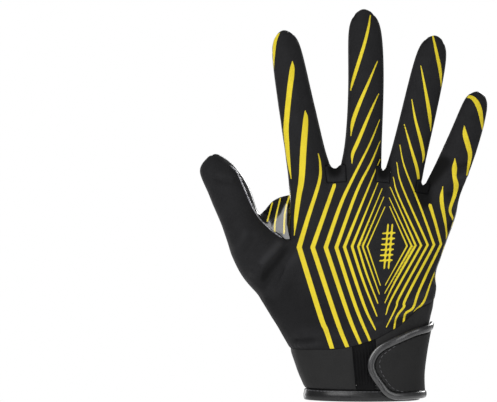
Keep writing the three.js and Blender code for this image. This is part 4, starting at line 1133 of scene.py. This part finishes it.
class GLOVE_OT_back(bpy.types.Operator):
    """Makes the back of the hand in printed knit"""

    bl_idname = "glove.back"
    bl_label = "Back panel"

    def execute(self, context):
        piece = cloth_copy("back_knit", "back_panel", look("printed_knit"), look("lining"), 2, finer=True)
        work_surface(piece, folds=(on_back, BACK_FOLDS), noise=(0.07, 10.0), pucker=0.8, only_facing=-1)
        print_on(piece, back_lines())
        paint_back_light_and_shade(piece)
        hand_over(piece, "back_panel", (0.165, 0.200), 0.0205)
        return {"FINISHED"}


class GLOVE_OT_palm(bpy.types.Operator):
    """Makes the palm in glossy silicone with its stripes"""

    bl_idname = "glove.palm"
    bl_label = "Palm panel"

    def execute(self, context):
        piece = cloth_copy("palm_silicone", "palm_panel", look("silicone"), look("lining"), 2, finer=True)
        work_surface(piece, folds=(on_palm, PALM_FOLDS), noise=(0.08, 12.0), pucker=1.5, only_facing=1)
        print_on(piece, palm_lines(), [stripe_line(on_back, points) for points in WEB_STRIPES])
        hand_over(piece, "palm_panel", (0.160, 0.195), 0.0178)
        return {"FINISHED"}


class GLOVE_OT_sides(bpy.types.Operator):
    """Makes the strips between the fingers and the thumb's gusset in plain knit"""

    bl_idname = "glove.sides"
    bl_label = "Side strips"

    def execute(self, context):
        flats = {
            "fourchette_index_middle": ((0.012, 0.175), 0.00150),
            "fourchette_middle_ring": ((0.012, 0.165), 0.00130),
            "fourchette_ring_little": ((0.012, 0.125), 0.00105),
            "thumb_gusset": ((0.020, 0.034), 0.00036),
        }
        for node, (flat, area) in flats.items():
            name = node.replace("fourchette", "side_knit").replace("thumb_gusset", "gusset_knit")
            piece = cloth_copy(name, node, look("side_knit"), look("side_knit"), both=True)
            work_surface(piece, noise=(0.04, 7.0), pucker=0.5, flush=True)
            # Painted shade where a strip turns away from the back, joined with the back's soft painted
            # shades.
            sideways = np.clip(1 + (normals(piece.data)[:, 1] + 0.2) * 3, 0, 1)
            store_number(piece.data, "shade", np.maximum(soft_shade(positions(piece.data)), 0.5 * sideways))
            hand_over(piece, node, flat, area)
        return {"FINISHED"}


class GLOVE_OT_cuff(bpy.types.Operator):
    """Makes the cuff, its hem binding and the shirred elastic"""

    bl_idname = "glove.cuff"
    bl_label = "Cuff"

    def execute(self, context):
        band = cloth_copy("cuff_cloth", "cuff_band", look("cuff"), look("lining"))
        work_surface(band, noise=(0.06, 11.0), pucker=0.5)
        reach_up(band, 0.022, 0.0004)
        hand_over(band, "cuff_band", (0.180, 0.045), 0.0049)
        hem = cloth_copy("hem_binding", "cuff_binding", look("leather"), look("leather"))
        press_hem(hem)
        hand_over(hem, "cuff_binding", (0.172, 0.010), 0.0014)
        elastic = cloth_copy("elastic_ribs", "elastic_panel", look("elastic"), look("elastic"))
        reach_up(elastic, 0.022, 0.0006)
        hand_over(elastic, "elastic_panel", (0.0155, 0.030), 0.00043)
        return {"FINISHED"}


class GLOVE_OT_tab(bpy.types.Operator):
    """Makes the closing tab with its bound edge"""

    bl_idname = "glove.tab"
    bl_label = "Closing tab"

    def execute(self, context):
        face = cloth_copy("tab_cloth", "closure_strap", look("tab"), look("tab"), 3)
        edging = search_tree(positions(frame["nodes"]["strap_binding"].data))
        gaps = np.array([edging.find(Vector(point))[2] * 1000 for point in positions(face.data)])
        # Painted shadow in the groove along the tab's binding.
        store_number(face.data, "shade", np.clip(1.5 - gaps / 0.9, 0, 1))
        hand_over(face, "closure_strap", (0.042, 0.040), 0.0012)
        edge = cloth_copy("tab_binding", "strap_binding", look("tab_edge"), look("tab_edge"))
        hand_over(edge, "strap_binding", (0.100, 0.010), 0.00062)
        return {"FINISHED"}


def model_stitch():
    """One stitch: a short rounded thread that lies along X."""
    thread = bpy.context.scene.glove_thread
    select_none()
    bpy.ops.mesh.primitive_uv_sphere_add(segments=6, ring_count=5, radius=0.5, location=(0, 0, 0))
    stitch = bpy.context.object
    bpy.ops.object.mode_set(mode="EDIT")
    bpy.ops.mesh.select_all(action="SELECT")
    bpy.ops.transform.rotate(value=math.pi / 2, orient_axis="Y", center_override=(0, 0, 0))
    size = (thread.length, thread.thickness, thread.thickness * 0.8)
    bpy.ops.transform.resize(value=size, center_override=(0, 0, 0))
    bpy.ops.mesh.faces_shade_smooth()
    bpy.ops.object.mode_set(mode="OBJECT")
    return stitch


def sew(name, places):
    """Joins a stitch at each place, which is a point, a direction and the cloth's normal."""
    stitch = model_stitch()
    copies = []
    for point, along, up in places:
        side = up.cross(along).normalized()
        along = side.cross(up).normalized()
        turn = Matrix((along, side, up)).transposed().to_4x4()
        copy = put_in_scene(name, stitch.data.copy())
        copy.data.transform(Matrix.Translation(point) @ turn)
        copies.append(copy)
    bpy.data.objects.remove(stitch, do_unlink=True)
    select_only(copies[0])
    for copy in copies[1:]:
        copy.select_set(True)
    bpy.ops.object.join()
    sewn = bpy.context.object
    sewn.name = name
    sewn.data.materials.append(look("thread"))
    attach(sewn, "root")
    return sewn


def at_travel(travel, gone, rows):
    """The row of x, y and z that belongs to one travel along a line."""
    return np.array([np.interp(travel, gone, rows[:, axis]) for axis in range(3)])


def spaced(points, ups, pitch, closed=False):
    """Even places along a line of points, each with its direction and the cloth's normal."""
    points = np.array([tuple(p) for p in points])
    ups = np.array([tuple(u) for u in ups])
    if closed:
        points = np.vstack([points, points[:1]])
        ups = np.vstack([ups, ups[:1]])
    steps = np.linalg.norm(np.diff(points, axis=0), axis=1)
    gone = np.concatenate([[0], np.cumsum(steps)])
    count = max(1, int(gone[-1] / pitch))
    for k in range(count):
        place = (k + 0.5) * gone[-1] / count
        here = at_travel(place, gone, points)
        ahead = at_travel(min(place + LOOK_ROUND, gone[-1]), gone, points)
        behind = at_travel(max(place - LOOK_ROUND, 0), gone, points)
        up = at_travel(place, gone, ups)
        yield Vector(here), Vector(ahead - behind).normalized(), Vector(up).normalized()


def laid_on(piece, marks):
    """Points and normals where a smooth line on the back pattern meets a piece, seen from the back."""
    points = []
    ups = []
    for x, z in flowing([on_back(*mark) for mark in marks], 8):
        found, place, up, _ = piece.ray_cast(Vector((x * MM, -0.2, z * MM)), Vector((0, 1, 0)))
        if found:
            points.append(place)
            ups.append(up)
    return points, ups


def ring_round(piece, height, rays=160):
    """Points and normals round a piece at one height."""
    points = []
    ups = []
    for k in range(rays):
        angle = 2 * math.pi * k / rays
        way = Vector((math.cos(angle), math.sin(angle), 0))
        found, place, up, _ = piece.ray_cast(way * 0.2 + Vector((0, 0, height)), -way)
        if found:
            points.append(place)
            ups.append(up)
    return points, ups


def rim_lines(piece, inset):
    """Lines on a piece's outer wall that keep the same distance from its edge."""
    for run in Rim(piece).runs:
        raw = np.array([tuple(point + inwards.normalized() * inset) for point, inwards, _ in run])
        even = sum(np.roll(raw, shift, axis=0) for shift in (-2, -1, 0, 1, 2)) / 5
        points = []
        ups = []
        for spot in even:
            found, place, up, _ = piece.closest_point_on_mesh(Vector(spot))
            if found:
                points.append(place)
                ups.append(up)
        yield points, ups


class GLOVE_OT_stitches(bpy.types.Operator):
    """Sews the tab, the hem and the seams of the palm, and lays the silicone's turned edge, coloured pale as
    a painted highlight
    """

    bl_idname = "glove.stitches"
    bl_label = "Stitches"

    def execute(self, context):
        pitch = context.scene.glove_thread.pitch
        things = bpy.data.objects
        tab_line = laid_on(things["tab_cloth"], TAB_STITCHES)
        sew("tab_stitches", list(spaced(*tab_line, pitch)))
        sides = []
        for points, ups in rim_lines(things["palm_silicone"], PALM_SEAM_INSET):
            seam = spaced(points, ups, pitch, closed=True)
            sides += [place for place in seam if place[2].y > PALM_SEAM_FACING]
        sew("palm_stitches", sides)
        hem_line = ring_round(things["hem_binding"], HEM_STITCH_UP * MM)
        sew("hem_stitches", list(spaced(*hem_line, pitch * 0.8, closed=True)))
        self.turned_edge(*laid_on(things["back_knit"], TURNED_EDGE))
        return {"FINISHED"}

    def turned_edge(self, points, ups):
        curve = bpy.data.curves.new("turned_edge", "CURVE")
        curve.dimensions = "3D"
        curve.bevel_depth = TURNED_EDGE_RADIUS
        curve.bevel_resolution = 2
        curve.use_fill_caps = True
        line = curve.splines.new("POLY")
        line.points.add(len(points) - 1)
        for k, (point, up) in enumerate(zip(points, ups)):
            line.points[k].co = (*(point + up * 0.0002), 1.0)
            line.points[k].radius = min(1.0, 0.35 + k * 0.2, 0.35 + (len(points) - 1 - k) * 0.2)
        select_only(put_in_scene("turned_edge", curve))
        bpy.ops.object.convert(target="MESH")
        piece = bpy.context.object
        for face in piece.data.polygons:
            face.use_smooth = True
        piece.data.materials.clear()
        piece.data.materials.append(look("turned"))
        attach(piece, "root")


class GLOVE_OT_stage(bpy.types.Operator):
    """Sets up the floor, the soft lights and the camera"""

    bl_idname = "glove.stage"
    bl_label = "Studio"

    def execute(self, context):
        studio = context.scene.glove_studio
        self.lay_floor(studio.floor_drop)
        self.hang_lamps()
        context.scene.world = self.light_air()
        context.scene.view_settings.view_transform = "Standard"
        context.scene.camera = self.set_camera(studio.camera_distance, studio.frame_width)
        return {"FINISHED"}

    def lay_floor(self, drop):
        select_none()
        bpy.ops.mesh.primitive_circle_add(
            vertices=64, radius=FLOOR_RADIUS, fill_type="NGON", location=(0, 0, -drop))
        floor = bpy.context.object
        floor.name = "studio_floor"
        bpy.ops.object.transform_apply(location=True, rotation=True, scale=True)
        floor.data.materials.append(look("paper"))

    def hang_lamps(self):
        for name, place, width, height, power in LAMPS:
            lamp = bpy.data.lights.new(name, "AREA")
            lamp.shape = "RECTANGLE"
            lamp.size = width
            lamp.size_y = height
            lamp.energy = power
            holder = put_in_scene(name, lamp)
            holder.location = place
            way = Vector(LAMP_TARGET) - Vector(place)
            holder.rotation_euler = way.to_track_quat("-Z", "Y").to_euler()

    def light_air(self):
        """A white background whose light on the glove is weaker than what the camera sees."""
        world = bpy.data.worlds.new("studio_air")
        world.use_nodes = True
        tree = world.node_tree
        tree.nodes.clear()
        path = tree.nodes.new("ShaderNodeLightPath")
        seen = tree.nodes.new("ShaderNodeBackground")
        seen.inputs["Color"].default_value = (1, 1, 1, 1)
        lit = tree.nodes.new("ShaderNodeBackground")
        lit.inputs["Color"].default_value = (1, 1, 1, 1)
        lit.inputs["Strength"].default_value = AIR_LIGHT
        mix = tree.nodes.new("ShaderNodeMixShader")
        out = tree.nodes.new("ShaderNodeOutputWorld")
        tree.links.new(path.outputs["Is Camera Ray"], mix.inputs[0])
        tree.links.new(lit.outputs[0], mix.inputs[1])
        tree.links.new(seen.outputs[0], mix.inputs[2])
        tree.links.new(mix.outputs[0], out.inputs[0])
        return world

    def set_camera(self, distance, width):
        camera = bpy.data.cameras.new("camera")
        camera.sensor_width = SENSOR_WIDTH
        camera.lens = SENSOR_WIDTH * distance / width
        camera.clip_start = 0.05
        camera.clip_end = 50.0
        holder = put_in_scene("camera", camera)
        holder.location = (CAMERA_ACROSS, -distance, CAMERA_UP)
        way = Vector((LOOK_ACROSS, 0.0, CAMERA_UP)) - holder.location
        holder.rotation_euler = way.to_track_quat("-Z", "Y").to_euler()
        return holder


STEPS = (
    GLOVE_OT_back, GLOVE_OT_palm, GLOVE_OT_sides, GLOVE_OT_cuff, GLOVE_OT_tab, GLOVE_OT_stitches,
    GLOVE_OT_stage,
)


class GLOVE_PT_sidebar(bpy.types.Panel):
    """The glove's pieces and the values that shape them"""

    bl_label = "Receiver glove"
    bl_space_type = "VIEW_3D"
    bl_region_type = "UI"
    bl_category = "Glove"

    def draw(self, context):
        for group in GROUPS:
            box = self.layout.box()
            values = getattr(context.scene, group)
            for name in values.bl_rna.properties.keys():
                if name not in ("rna_type", "name"):
                    box.prop(values, name)
        for step in STEPS:
            self.layout.operator(step.bl_idname)


GROUPS = {
    "glove_colours": GloveColours,
    "glove_cloth": GloveCloth,
    "glove_thread": GloveThread,
    "glove_studio": GloveStudio,
}
CLASSES = (*GROUPS.values(), *STEPS, GLOVE_PT_sidebar)


def register():
    for made in CLASSES:
        bpy.utils.register_class(made)
    for name, group in GROUPS.items():
        setattr(bpy.types.Scene, name, bpy.props.PointerProperty(type=group))


def unregister():
    for name in GROUPS:
        delattr(bpy.types.Scene, name)
    for made in reversed(CLASSES):
        bpy.utils.unregister_class(made)


def main():
    register()
    bpy.ops.glove.back()
    bpy.ops.glove.palm()
    bpy.ops.glove.sides()
    bpy.ops.glove.cuff()
    bpy.ops.glove.tab()
    bpy.ops.glove.stitches()
    bpy.ops.glove.stage()


if __name__ == "__main__":
    main()
